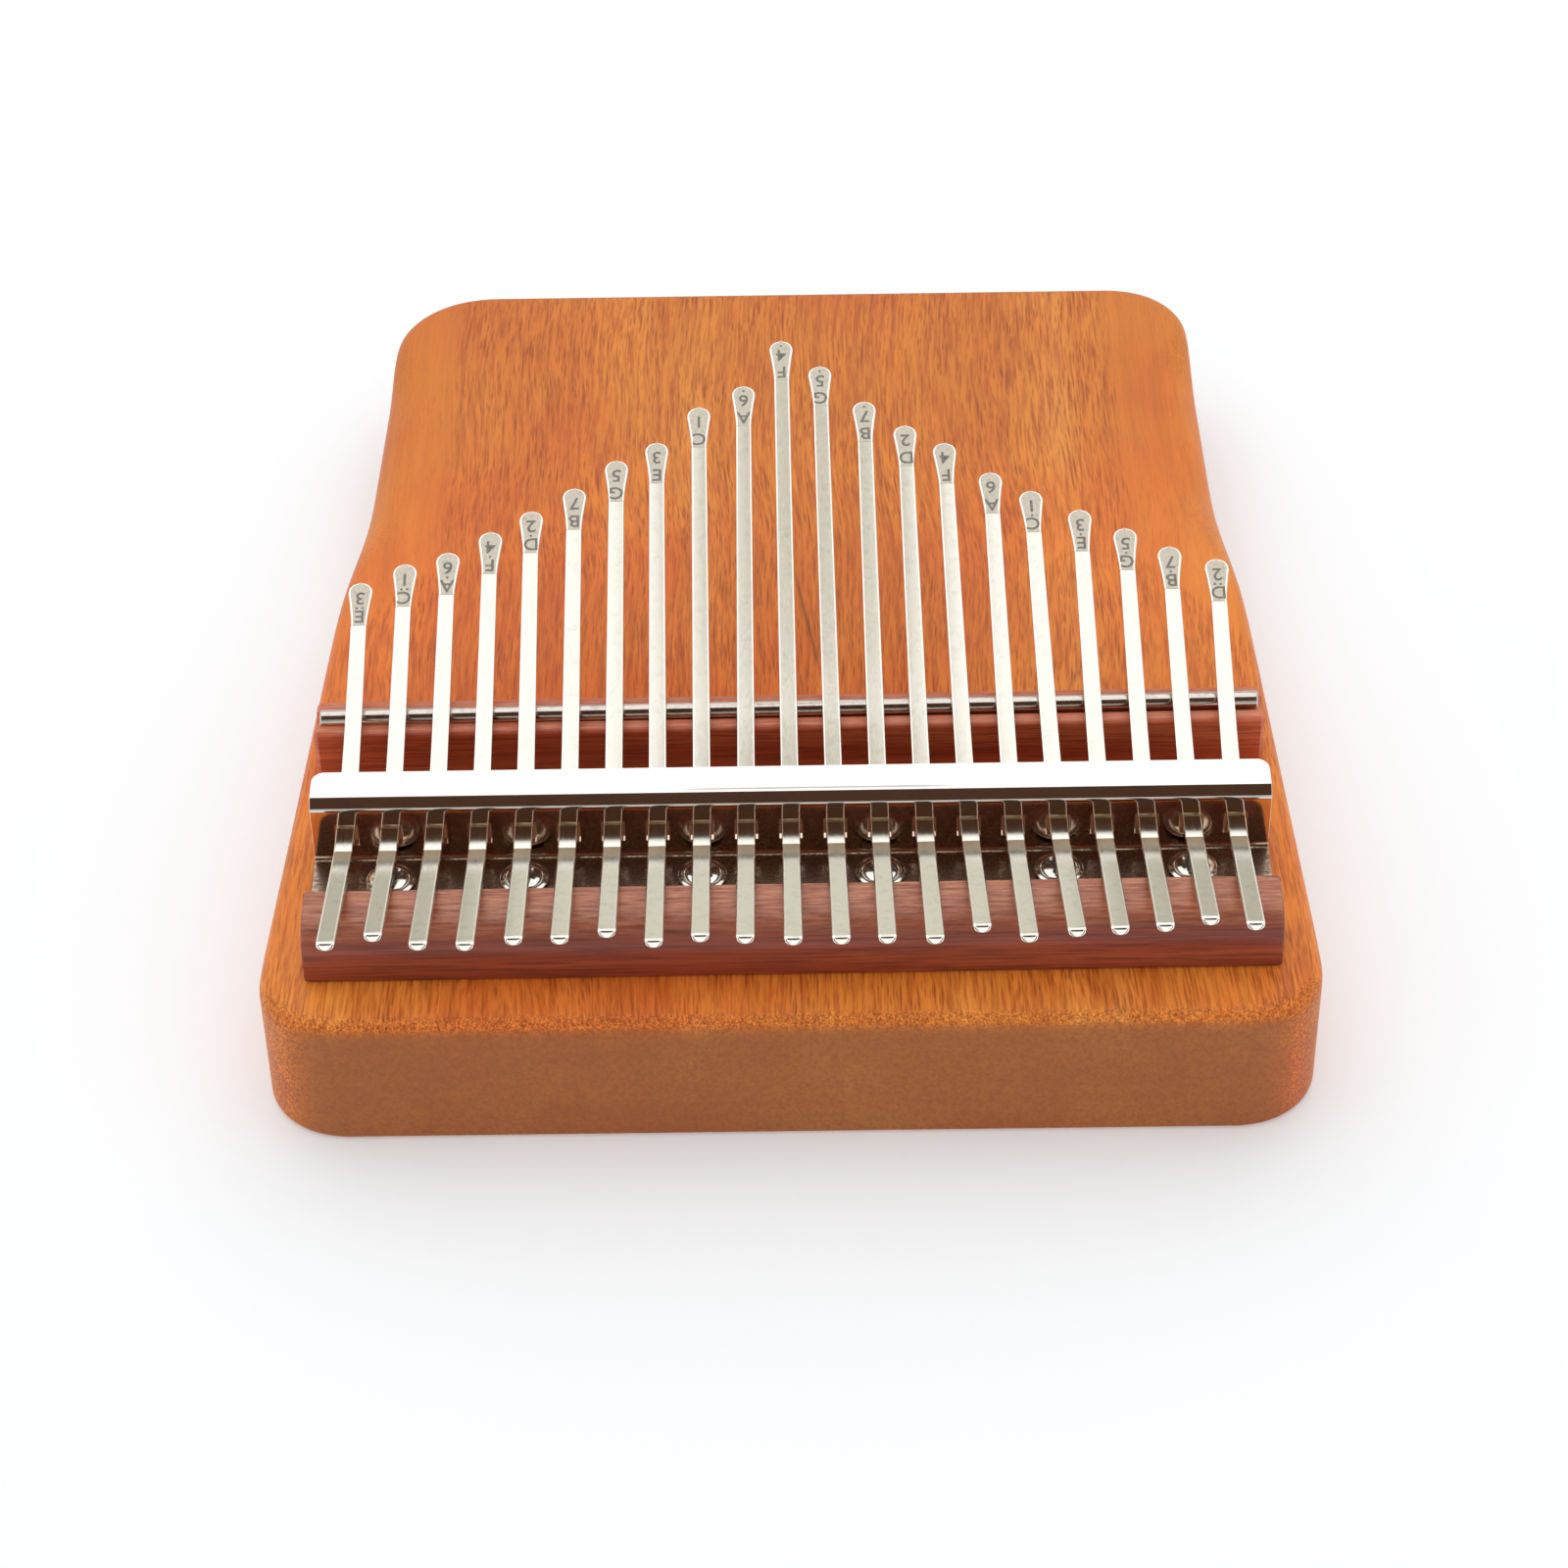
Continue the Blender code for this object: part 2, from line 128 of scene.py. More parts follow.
def boardMaterial(wood):
    material, tree, shader = newMaterial("oiled mahogany", {"Specular IOR Level": 0.3})
    coordinates = addNode(tree, "TexCoord").outputs
    place = addNode(tree, "Mapping", {"Vector": coordinates["Object"], "Scale": (1000, 1000, 1000)})
    x, y, z = addNode(tree, "SeparateXYZ", [place]).outputs
    facing = addNode(tree, "SeparateXYZ", [coordinates["Normal"]]).outputs
    drift = addNode(tree, "TexNoise", {"Vector": place, "Scale": 1 / wood["wanderLength"], "Detail": 1.0})
    aside = (wood["wander"], 0, wood["wander"])
    wander = addNode(tree, "VectorMath", [drift.outputs["Color"], aside, place], operation="MULTIPLY_ADD")
    endways = addNode(tree, "Math", [facing["Y"]], operation="ABSOLUTE")
    sawn = addNode(tree, "MapRange", [endways, 0.75, 0.98])
    rounded = addNode(tree, "MapRange", [endways, 0.05, 0.35])

    # bands of colour, redder or yellower from one part of the board to the next
    bandPlace = addNode(tree, "Mapping", {"Vector": wander, "Scale": scaleFor(wood["bandSize"])})
    bandNoise = addNode(tree, "TexNoise",
                        {"Vector": bandPlace, "Scale": 1.0, "Detail": 3.0, "Roughness": 0.6})
    redBands = addNode(tree, "ValToRGB", [bandNoise], wood["redBands"])
    yellowBands = addNode(tree, "ValToRGB", [bandNoise], wood["yellowBands"])
    patchNoise = addNode(tree, "TexNoise", {"Vector": wander, "Scale": 1 / wood["patch"]})
    patches = addNode(tree, "MapRange", [patchNoise, 0.4, 0.6])
    bands = addNode(tree, "Mix", {"Factor": patches, "A": redBands, "B": yellowBands}, data_type="RGBA")
    stripePlace = addNode(tree, "Mapping", {"Vector": wander, "Scale": scaleFor(wood["stripeSize"])})
    stripeNoise = addNode(tree, "TexNoise", {"Vector": stripePlace, "Scale": 1.0})
    stripeTones = (1 - wood["stripeDepth"], 1 + wood["stripeDepth"] / 2)
    tones = [addNode(tree, "MapRange", [stripeNoise, 0.3, 0.7, *stripeTones])]

    # thumb scoops are cut across the pores, so they look smoother than the face
    scoops = wood["scoops"]
    fromMiddle = addNode(tree, "Math", [x], operation="ABSOLUTE")
    edgeward = addNode(tree, "MapRange", [fromMiddle, scoops["inner"], scoops["outer"]])
    slant = addNode(tree, "Math", [fromMiddle, scoops["slant"], -scoops["start"]], operation="MULTIPLY_ADD")
    ahead = addNode(tree, "Math", [y, slant], operation="ADD")
    ahead = addNode(tree, "MapRange", [ahead, 0, scoops["soft"]])
    scooped = addNode(tree, "Math", [edgeward, ahead], operation="MULTIPLY")
    upward = addNode(tree, "MapRange", [facing["Z"], 0.02, 0.3])
    scooped = addNode(tree, "Math", [scooped, upward], operation="MULTIPLY")
    smooth = addNode(tree, "Math", [scooped, -scoops["smoothness"], 1.0], operation="MULTIPLY_ADD")

    fibrePlace = addNode(tree, "Mapping", {"Vector": wander, "Scale": scaleFor(wood["fibreSize"])})
    fibreNoise = addNode(tree, "TexNoise",
                         {"Vector": fibrePlace, "Scale": 1.0, "Detail": 4.0, "Roughness": 0.65})
    fibres = addNode(tree, "MapRange", [fibreNoise, 0.36, 0.58, wood["fibreDepth"], 0])
    fibreShare = addNode(tree, "Math", [fibres, smooth], operation="MULTIPLY")
    fibred = addNode(tree, "Mix", {"Factor": fibreShare, "A": bands, "B": linear(wood["fibreColour"])},
                     data_type="RGBA")

    # painted light lifts the colour towards the tail end, painted shade darkens the sawn ends, and the sawn
    # ends carry faint saw marks
    tones.append(addNode(tree, "MapRange", [y, *wood["tailLightFade"], wood["tailLight"], 1]))
    tones.append(addNode(tree, "MapRange", [sawn, 0, 1, 1, wood["sawnShade"]]))
    sawPlace = addNode(tree, "Mapping", {"Vector": place, "Scale": scaleFor(wood["sawSize"])})
    sawNoise = addNode(tree, "TexNoise",
                       {"Vector": sawPlace, "Scale": 1.0, "Detail": 4.0, "Roughness": 0.65})
    sawMarks = addNode(tree, "MapRange", [sawNoise, 0.3, 0.7, -wood["sawMarks"], wood["sawMarks"]])
    tones.append(addNode(tree, "Math", [sawMarks, sawn, 1.0], operation="MULTIPLY_ADD"))

    # the speckle of cut pores on the rounded ends
    speckleNoise = addNode(tree, "TexNoise", {"Vector": place, "Scale": 1 / wood["speckle"], "Detail": 1.0})
    speckles = addNode(tree, "MapRange", [speckleNoise, 0.36, 0.6, 1 - wood["speckleDepth"], 1.1])
    dullness = addNode(tree, "Math", [sawn, -0.8, 1.0], operation="MULTIPLY_ADD")
    speckled = addNode(tree, "Math", [rounded, dullness], operation="MULTIPLY")
    tones.append(addNode(tree, "Mix", {"Factor": speckled, "A": 1.0, "B": speckles}))

    # a few single dark lines of the figure
    fade = wood["figureFade"]
    for line in wood["figure"]:
        middle = addNode(tree, "Math", [y, -line["lean"], -line["x"]], operation="MULTIPLY_ADD")
        off = addNode(tree, "Math", [x, middle], operation="ADD")
        off = addNode(tree, "Math", [off], operation="ABSOLUTE")
        depth = addNode(tree, "MapRange", [off, 0, line["width"], line["depth"], 0])
        start = addNode(tree, "MapRange", [y, line["start"], line["start"] + fade])
        stop = addNode(tree, "MapRange", [y, line["stop"] - fade, line["stop"], 1, 0])
        span = addNode(tree, "Math", [start, stop], operation="MULTIPLY")
        depth = addNode(tree, "Math", [depth, span], operation="MULTIPLY")
        tones.append(addNode(tree, "Math", [1.0, depth], operation="SUBTRACT"))

    # painted shade: the board's colour is darkened under the bracket, where its shadow falls
    bracketShade = wood["bracketShade"]
    width, length, soft = bracketShade["halfWidth"], bracketShade["halfLength"], bracketShade["soft"]
    fromBracketShade = addNode(tree, "Math", [y, -bracketShade["y"]], operation="ADD")
    fromBracketShade = addNode(tree, "Math", [fromBracketShade], operation="ABSOLUTE")
    across = addNode(tree, "MapRange", [fromBracketShade, width, width + soft, 1, 0])
    along = addNode(tree, "MapRange", [fromMiddle, length, length + soft, 1, 0])
    covered = addNode(tree, "Math", [across, along], operation="MULTIPLY")
    tones.append(addNode(tree, "MapRange", [covered, 0, 1, 1, bracketShade["shade"]]))
    tone = tones[0]
    for factor in tones[1:]:
        tone = addNode(tree, "Math", [tone, factor], operation="MULTIPLY")
    toned = addNode(tree, "VectorMath", {0: fibred, "Scale": tone}, operation="SCALE")

    # open pores: long cells stretched along the grain, plainer in some places than in others
    fadeNoise = addNode(tree, "TexNoise", {"Vector": place, "Scale": 1 / wood["poreFade"], "Detail": 1.0})
    fade = addNode(tree, "MapRange", [fadeNoise, 0.35, 0.62, 0.35, 1])
    fade = addNode(tree, "Math", [fade, smooth], operation="MULTIPLY")
    sawnFade = addNode(tree, "Math", [sawn, -0.6, 1.0], operation="MULTIPLY_ADD")
    fade = addNode(tree, "Math", [fade, sawnFade], operation="MULTIPLY")
    layers = []
    for pores in wood["pores"]:
        porePlace = addNode(tree, "Mapping", {"Vector": wander, "Scale": scaleFor(pores["size"])})
        cells = addNode(tree, "TexVoronoi", {"Vector": porePlace, "Scale": 1.0})
        edge = pores["width"] / 2 / pores["size"][0]
        layers.append(addNode(tree, "MapRange", [cells, edge * 0.5, edge * 1.5, pores["depth"], 0]))
    poreShare = addNode(tree, "Math", layers, operation="MAXIMUM")
    poreShare = addNode(tree, "Math", [poreShare, fade], operation="MULTIPLY")
    poreColour = linear(wood["poreColour"])[:3]
    poreTint = addNode(tree, "VectorMath", {0: poreColour, "Scale": tone}, operation="SCALE")
    coloured = addNode(tree, "Mix", {"Factor": poreShare, "A": toned, "B": poreTint}, data_type="RGBA")
    # painted shade: the sawn ends are also mixed towards a darker brown
    sawnShadeShare = addNode(tree, "Math", [sawn, wood["sawnShadeShare"]], operation="MULTIPLY")
    coloured = addNode(tree, "Mix", {"Factor": sawnShadeShare, "A": coloured, "B": linear(wood["sawnShadeColour"])},
                       data_type="RGBA")

    base = wood["roughness"]
    rough = addNode(tree, "MapRange", [fibreNoise, 0.3, 0.7, base - 0.06, base + 0.08])
    fibreBump = addNode(tree, "Bump", {"Height": fibreNoise, "Strength": 0.2, "Distance": 0.05 * mm})
    poreBump = addNode(tree, "Bump", {"Height": poreShare, "Strength": 0.4, "Distance": 0.08 * mm,
                                      "Normal": fibreBump}, invert=True)
    setInputs(shader, {"Base Color": coloured, "Roughness": rough, "Normal": poreBump})
    return material


# dark rosewood-like bar stock, planed and waxed: red brown, with fine darker streaks along X
barWood = dict(roughness=0.4, bandSize=(90, 3.2, 3.2),
               bands=[(0.3, "#863620"), (0.5, "#994226"), (0.7, "#A95234")],
               streakSize=(13, 0.42, 0.42), streakColour="#56200F", streakDepth=0.65,
               dustAndSheenSize=(5, 0.5, 0.5), dustAndSheenColour="#D08C68", dustAndSheen=0.42)
# the front bridge gets a lighter copy of the same wood: painted light on a piece that lies in the shade of
# the tines and bracket
litBridgeWood = dict(barWood, streakColour="#983820",
                  bands=[(0.3, "#CC5632"), (0.5, "#DE683F"), (0.7, "#E8784F")])


def barMaterial(wood):
    material, tree, shader = newMaterial("waxed dark bar wood", {"Specular IOR Level": 0.6})
    coordinates = addNode(tree, "TexCoord").outputs
    place = addNode(tree, "Mapping", {"Vector": coordinates["Object"], "Scale": (1000, 1000, 1000)})
    bandPlace = addNode(tree, "Mapping", {"Vector": place, "Scale": scaleFor(wood["bandSize"])})
    bandNoise = addNode(tree, "TexNoise", {"Vector": bandPlace, "Scale": 1.0, "Detail": 3.0})
    bands = addNode(tree, "ValToRGB", [bandNoise], wood["bands"])
    streakPlace = addNode(tree, "Mapping", {"Vector": place, "Scale": scaleFor(wood["streakSize"])})
    streakNoise = addNode(tree, "TexNoise",
                          {"Vector": streakPlace, "Scale": 1.0, "Detail": 3.0, "Roughness": 0.6})
    streaks = addNode(tree, "MapRange", [streakNoise, 0.36, 0.56, wood["streakDepth"], 0])
    coloured = addNode(tree, "Mix", {"Factor": streaks, "A": bands, "B": linear(wood["streakColour"])},
                       data_type="RGBA")

    # the upper faces are paler in flecks along the grain: partly light dust, partly a painted sheen where the
    # light falls on the tops
    upward = addNode(tree, "SeparateXYZ", [coordinates["Normal"]]).outputs["Z"]
    upward = addNode(tree, "MapRange", [upward, 0.45, 1])
    dustAndSheenPlace = addNode(tree, "Mapping", {"Vector": place, "Scale": scaleFor(wood["dustAndSheenSize"])})
    dustAndSheenNoise = addNode(tree, "TexNoise",
                        {"Vector": dustAndSheenPlace, "Scale": 1.0, "Detail": 3.0, "Roughness": 0.7})
    dustAndSheen = addNode(tree, "MapRange", [dustAndSheenNoise, 0.35, 0.65, 0.1 * wood["dustAndSheen"], 1.9 * wood["dustAndSheen"]])
    dustAndSheenShare = addNode(tree, "Math", [upward, dustAndSheen], operation="MULTIPLY")
    coloured = addNode(tree, "Mix", {"Factor": dustAndSheenShare, "A": coloured, "B": linear(wood["dustAndSheenColour"])},
                       data_type="RGBA")
    base = wood["roughness"]
    rough = addNode(tree, "MapRange", [streakNoise, 0.3, 0.7, base + 0.1, base - 0.05])
    bump = addNode(tree, "Bump", {"Height": streakNoise, "Strength": 0.35, "Distance": 0.08 * mm})
    setInputs(shader, {"Base Color": coloured, "Roughness": rough, "Normal": bump})
    return material


# metals: a fine noise stretched along the working direction varies the base, and a second one the
# tone; each film tints the colour below its height, evenly or in spots, and dulls the shine: on the bracket,
# a warm tint on the web and painted shade on the low flange
def metalMaterial(metal):
    material, tree, shader = newMaterial(metal["name"], {"Metallic": 1.0})
    place = addNode(tree, "TexCoord").outputs["Object"]
    grainScale = scaleFor([mm * size for size in metal["grain"]])
    along = addNode(tree, "Mapping", {"Vector": place, "Scale": grainScale})
    grain = addNode(tree, "TexNoise", {"Vector": along, "Scale": 1.0, "Detail": 3.0, "Roughness": 0.6})
    mottleScale = 1 / (mm * metal["mottle"])
    mottle = addNode(tree, "TexNoise",
                     {"Vector": place, "Scale": mottleScale, "Detail": 3.0, "Roughness": 0.7})
    colour = addNode(tree, "ValToRGB", [mottle], [(0.32, metal["dark"]), (0.5, metal["light"])])
    base = metal["roughness"]
    rough = addNode(tree, "MapRange", [grain, 0.3, 0.7, base * 0.85, base * 1.25])
    for film in metal.get("films", ()):
        height = addNode(tree, "SeparateXYZ", [place]).outputs["Z"]
        top, fade = film["below"] * mm, film["fade"] * mm
        covered = addNode(tree, "MapRange", [height, top - fade, top, 1, 0])
        if "spot" in film:
            spotScale = 1 / (mm * film["spot"])
            spots = addNode(tree, "TexNoise", {"Vector": place, "Scale": spotScale, "Roughness": 0.6})
            amount = addNode(tree, "MapRange", [spots, 0.3, 0.65, film["share"], film["share"] * 0.5])
            covered = addNode(tree, "Math", [covered, amount], operation="MULTIPLY")
        colour = addNode(tree, "Mix", {"Factor": covered, "A": colour, "B": linear(film["colour"])},
                         data_type="RGBA")
        rough = addNode(tree, "Math", [covered, film["dull"], rough], operation="MULTIPLY_ADD")
    bump = addNode(tree, "Bump", {"Height": grain, "Strength": metal["bump"], "Distance": 0.01 * mm})
    setInputs(shader, {"Base Color": colour, "Roughness": rough, "Normal": bump})
    return material


# cold-rolled spring steel strip, polished: soft mirror with faint rolling lines along the strip
stripSteel = metalMaterial(dict(name="polished spring steel", grain=(0.25, 9, 0.25), mottle=1.6,
                                dark="#D2D0C6", light="#DAD8CE", roughness=0.14, bump=0.05))
# the playing ends are hammered flat and ground: duller and greyer
paddleSteel = metalMaterial(dict(name="ground spring steel", grain=(0.35, 1.2, 0.35), mottle=0.5,
                                 dark="#ACA596", light="#BEB7A9", roughness=0.42, bump=0.2))
# the strip's upper edges get a lighter steel as a painted highlight, so they show as light outlines
highlightEdgeSteel = metalMaterial(dict(name="spring steel edge painted highlight", grain=(0.25, 9, 0.25), mottle=1.6,
                               dark="#F0EBE2", light="#F6F2EA", roughness=0.16, bump=0.04))
# bright nickel-chrome plate on the pressed bracket: a clean mirror above, a warm tint and slight dulling on
# the web, and painted shade in dark spots on the low flange, which also dulls it
webTint = dict(below=34.0, fade=1.5, colour="#E8CEB8", dull=0.04)
flangeShade = dict(below=24.9, fade=0.3, colour="#4E3A2C", dull=0.3, spot=0.55, share=0.85)
bracketChrome = metalMaterial(dict(name="chrome plate", grain=(8, 1.5, 1.5), mottle=6,
                                   dark="#DCDAD6", light="#E6E4E0", roughness=0.06, bump=0.03,
                                   films=(webTint, flangeShade)))
# nickel-plated screw steel: bright, with a fine even bloom
screwNickel = metalMaterial(dict(name="nickel plate", grain=(0.6, 0.6, 0.6), mottle=1.5,
                                 dark="#C9C5BC", light="#DAD6CE", roughness=0.12, bump=0.1))
# centreless-ground bar: bright, with fine rings round it
rodSteel = metalMaterial(dict(name="ground steel rod", grain=(0.5, 3, 3), mottle=2,
                              dark="#B5ABA3", light="#C8BFB8", roughness=0.16, bump=0.06))

# the floor of each stamp is raw struck metal with grime in it, so it reads as dark grey
stamp = dict(dark="#6E6A62", light="#8E8A81", grain=0.3)


def stampMaterial(s):
    material, tree, shader = newMaterial("stamped recess", {"Roughness": 0.7, "Metallic": 0.2})
    place = addNode(tree, "TexCoord").outputs["Object"]
    noise = addNode(tree, "TexNoise", {"Vector": place, "Scale": 1 / (mm * s["grain"])})
    tones = addNode(tree, "ValToRGB", [noise], [(0.3, s["dark"]), (0.7, s["light"])])
    setInputs(shader, {"Base Color": tones})
    return material


stampGrime = stampMaterial(stamp)
mahogany = boardMaterial(boardWood)
darkWood = barMaterial(barWood)
litBarWood = barMaterial(litBridgeWood)
print("materials made")


def addObject(name, data):
    made = bpy.data.objects.new(name, data)
    bpy.context.scene.collection.objects.link(made)
    return made


# an object's mesh with its modifiers applied
def finalMesh(made):
    return bpy.data.meshes.new_from_object(made.evaluated_get(bpy.context.evaluated_depsgraph_get()))


def meshFrom(bm, name, materials):
    mesh = bpy.data.meshes.new(name)
    bm.to_mesh(mesh)
    bm.free()
    for material in materials:
        mesh.materials.append(material)
    return mesh


# turns a bmesh in millimetres into metres, with its faces looking outward
def finishShape(bm):
    bmesh.ops.scale(bm, verts=bm.verts, vec=(mm, mm, mm))
    bmesh.ops.recalc_face_normals(bm, faces=bm.faces)


# turns a bmesh in millimetres into a piece that rides on a body and stands for CAD nodes
def makePiece(name, bm, materials, body, replaced=(), sharpAngle=35):
    bmesh.ops.remove_doubles(bm, verts=bm.verts, dist=1e-4)
    finishShape(bm)
    mesh = meshFrom(bm, name, materials)
    mesh.shade_smooth()
    mesh.set_sharp_from_angle(angle=math.radians(sharpAngle))
    piece = addObject(name, mesh)
    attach(piece, body)
    if replaced:
        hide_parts(*replaced)
    return piece


def arcPoints(centre, radius, start, end, steps):
    angles = [math.radians(start + (end - start) * step / steps) for step in range(steps + 1)]
    return [(centre[0] + radius * math.cos(a), centre[1] + radius * math.sin(a)) for a in angles]


# joins rings of equal point counts and closes the two ends
def loft(bm, rings):
    loops = [[bm.verts.new(point) for point in ring] for ring in rings]
    for first, second in zip(loops, loops[1:]):
        for index in range(len(first)):
            after = (index + 1) % len(first)
            bm.faces.new((first[index], first[after], second[after], second[index]))
    bm.faces.new(loops[0])
    bm.faces.new(loops[-1])


# outward directions at the points of an anticlockwise outline
def outlineNormals(outline):
    normals = []
    for index in range(len(outline)):
        before, after = outline[index - 1], outline[(index + 1) % len(outline)]
        direction = Vector((after[1] - before[1], before[0] - after[0]))
        normals.append(direction.normalized() if direction.length > 1e-9 else Vector((0, 1)))
    return normals


def eased(value, start, end, first, second):
    share = min(max((value - start) / (end - start), 0), 1)
    share = share * share * (3 - 2 * share)
    return first + (second - first) * share


def quarterTurns(steps):
    return [math.pi / 2 * step / steps for step in range(steps + 1)]


def turnShape(bm, centre, degrees):
    turned = Matrix.Rotation(math.radians(degrees), 3, "Z")
    bmesh.ops.rotate(bm, verts=bm.verts, cent=centre, matrix=turned)


# a bar along X with the given Y-Z outline and rounded ends
def barAlongX(bm, outline, length, rounding, steps, askew=0.0):
    normals = outlineNormals(outline)
    right = []
    for turn in quarterTurns(steps):
        inset = rounding * (1 - math.cos(turn))
        x = length / 2 - rounding * (1 - math.sin(turn))
        right.append([(x, y - n.x * inset, z - n.y * inset) for (y, z), n in zip(outline, normals)])
    left = [[(-x, y, z) for x, y, z in ring] for ring in reversed(right)]
    loft(bm, left + right)
    turnShape(bm, sum((vert.co for vert in bm.verts), Vector()) / len(bm.verts), askew)


# the board: a slowly narrowing block with a waist, broad thumb scoops on its far sides, small
# rounding elsewhere, and the slight lean and turn of a hand-cut blank
board = dict(length=182.7, thickness=23.0, nearHalf=78.3, nearWaistHalf=73.25, farWaistHalf=69.95,
             farHalf=68.5, lean=1.1, askew=-0.35, waistStart=91.4, waistLength=38.0, nearCorner=12.0,
             farRightCorner=13.0, farLeftCorner=16.0, edgeRound=2.9, bottomRound=1.2, scoopWidth=13.0,
             scoopDepth=6.0, scoopStart=99.0, scoopBlend=30.0, scoopStop=10.0, scoopFade=20.0,
             sideSteps=70, cornerSteps=16, roundSteps=12, bottomSteps=4, smoothing=5)


def boardHalfWidth(b, y):
    half = b["length"] / 2
    waistStart = b["waistStart"] - half
    waistEnd = waistStart + b["waistLength"]
    nearSlope = (b["nearWaistHalf"] - b["nearHalf"]) / (waistStart + half)
    farSlope = (b["farHalf"] - b["farWaistHalf"]) / (half - waistEnd)
    nearLine = b["nearWaistHalf"] + nearSlope * (y - waistStart)
    farLine = b["farWaistHalf"] + farSlope * (y - waistEnd)
    return nearLine + (farLine - nearLine) * eased(y, waistStart, waistEnd, 0, 1)


def boardSide(b, farRadius):
    nearRadius = b["nearCorner"]
    nearY = nearRadius - b["length"] / 2
    farY = b["length"] / 2 - farRadius
    near = (boardHalfWidth(b, nearY) - nearRadius, nearY)
    far = (boardHalfWidth(b, farY) - farRadius, farY)
    side = arcPoints(near, nearRadius, -90, 0, b["cornerSteps"])
    for step in range(1, b["sideSteps"]):
        y = nearY + (farY - nearY) * step / b["sideSteps"]
        side.append((boardHalfWidth(b, y), y))
    return side + arcPoints(far, farRadius, 0, 90, b["cornerSteps"])


# the sides' outlines, eased where the corner arcs meet them
def boardOutline(b):
    outline = []
    for mirror, radius in ((1, b["farRightCorner"]), (-1, b["farLeftCorner"])):
        side = boardSide(b, radius)
        for attempt in range(b["smoothing"]):
            middles = [((p[0] + 2 * q[0] + r[0]) / 4, (p[1] + 2 * q[1] + r[1]) / 4)
                       for p, q, r in zip(side, side[1:], side[2:])]
            side = [side[0]] + middles + [side[-1]]
        side = [(mirror * x, y) for x, y in side]
        outline += side if mirror > 0 else list(reversed(side))
    return [(x + b["lean"] * (0.5 + y / b["length"]), y) for x, y in outline]


# width or depth of the top edge's rounding: small all round, broad at the thumb scoops
def topRound(b, y, sideShare, broad):
    half = b["length"] / 2
    start, stop = b["scoopStart"] - half, half - b["scoopStop"]
    rising = eased(y, start, start + b["scoopBlend"], 0, 1)
    fading = eased(y, stop - b["scoopFade"], stop, 1, 0)
    return b["edgeRound"] + (broad - b["edgeRound"]) * rising * fading * sideShare


def buildBoard(b):
    bm = bmesh.new()
    outline = boardOutline(b)
    normals = outlineNormals(outline)
    rings = []
    for turn in quarterTurns(b["bottomSteps"]):
        inset = b["bottomRound"] * (1 - math.sin(turn))
        z = b["bottomRound"] * (1 - math.cos(turn))
        rings.append([(x - n.x * inset, y - n.y * inset, z) for (x, y), n in zip(outline, normals)])
    for turn in quarterTurns(b["roundSteps"]):
        ring = []
        for (x, y), n in zip(outline, normals):
            sideShare = abs(n.x) ** 4
            inset = topRound(b, y, sideShare, b["scoopWidth"]) * (1 - math.cos(turn))
            drop = topRound(b, y, sideShare, b["scoopDepth"]) * (1 - math.sin(turn))
            ring.append((x - n.x * inset, y - n.y * inset, b["thickness"] - drop))
        rings.append(ring)
    loft(bm, rings)
    turnShape(bm, (0, 0, 0), b["askew"])
    makePiece("soundBoard", bm, [mahogany], "stand", ["body_board"])


buildBoard(board)
print("board built")

# the places of the pressing parts, read from the frame
bracketLow, bracketHigh = boxOf("pressure_bracket")
rodLow, rodHigh = boxOf("bridge_rod")
rearLow, rearHigh = boxOf("rear_bridge")
rodRadius = (rodHigh.z - rodLow.z) / 2
rodY, rodZ = (rodLow.y + rodHigh.y) / 2, (rodLow.z + rodHigh.z) / 2
seatGap = 0.3
boardTop = bracketLow.z - seatGap
tinePitch = 6.6
tineCount = 21

# a Z-shaped pressing; its upper bend is drawn over a die with a flat on it, so it is three arcs,
# given as turn from the flange in degrees and outer radius; the whole sits a little askew
bracket = dict(sheet=1.2, lowerBend=1.4, topFlange=6.3, height=12.4, lowerFlange=11.0, cornerRadius=2.0,
               upperBend=((28, 1.6), (58, 3.2), (90, 1.4)), slotWidth=3.5, slotHeight=3.9,
               slotTopOverBoard=8.2, bendSteps=10, bendStep=9, cornerSteps=6,
               edgeRound=0.16, edgeSteps=2, edgeAngle=50, askew=-0.2, askewAbout=-60, reach=4.9)
webY = bracketHigh.y - bracket["reach"]
slotTop = boardTop + bracket["slotTopOverBoard"]


# where a tine crosses the web
def tineX(number):
    return (number - (tineCount + 1) / 2) * tinePitch


# distances from a flange's edge at which its rounded corner needs points
def cornerReaches(b):
    return [b["cornerRadius"] * (1 - math.cos(turn)) for turn in quarterTurns(b["cornerSteps"])]


# the sheet's middle as (y, z, heading), up from the lower flange's edge over the web to the top flange
def bracketProfile(b):
    half = b["sheet"] / 2
    low = bracketLow.z + half
    high = bracketLow.z + b["height"] - half
    near = webY - b["lowerFlange"]
    profile = [(near + reach, low, 0) for reach in cornerReaches(b)]
    for turn in quarterTurns(b["bendSteps"]):
        y = webY - b["lowerBend"] * (1 - math.sin(turn))
        profile.append((y, low + b["lowerBend"] * (1 - math.cos(turn)), turn))
    profile += [(webY, z, math.pi / 2) for z in (slotTop - b["slotHeight"], slotTop)]
    bend = []
    y, z, before = 0.0, 0.0, 0.0
    for end, outer in b["upperBend"]:
        radius = outer - half
        steps = max(round((end - before) / b["bendStep"]), 1)
        for step in range(steps):
            first = math.radians(before + (end - before) * step / steps)
            second = math.radians(before + (end - before) * (step + 1) / steps)
            bend.append((y, z, first))
            y -= radius * (math.sin(second) - math.sin(first))
            z -= radius * (math.cos(first) - math.cos(second))
        before = end
    bend.append((y, z, math.pi / 2))
    profile += [(webY + by - y, high + bz, turn) for by, bz, turn in reversed(bend)]
    farEdge = webY + b["topFlange"]
    profile += [(farEdge - reach, high, 0) for reach in reversed(cornerReaches(b))]
    return profile


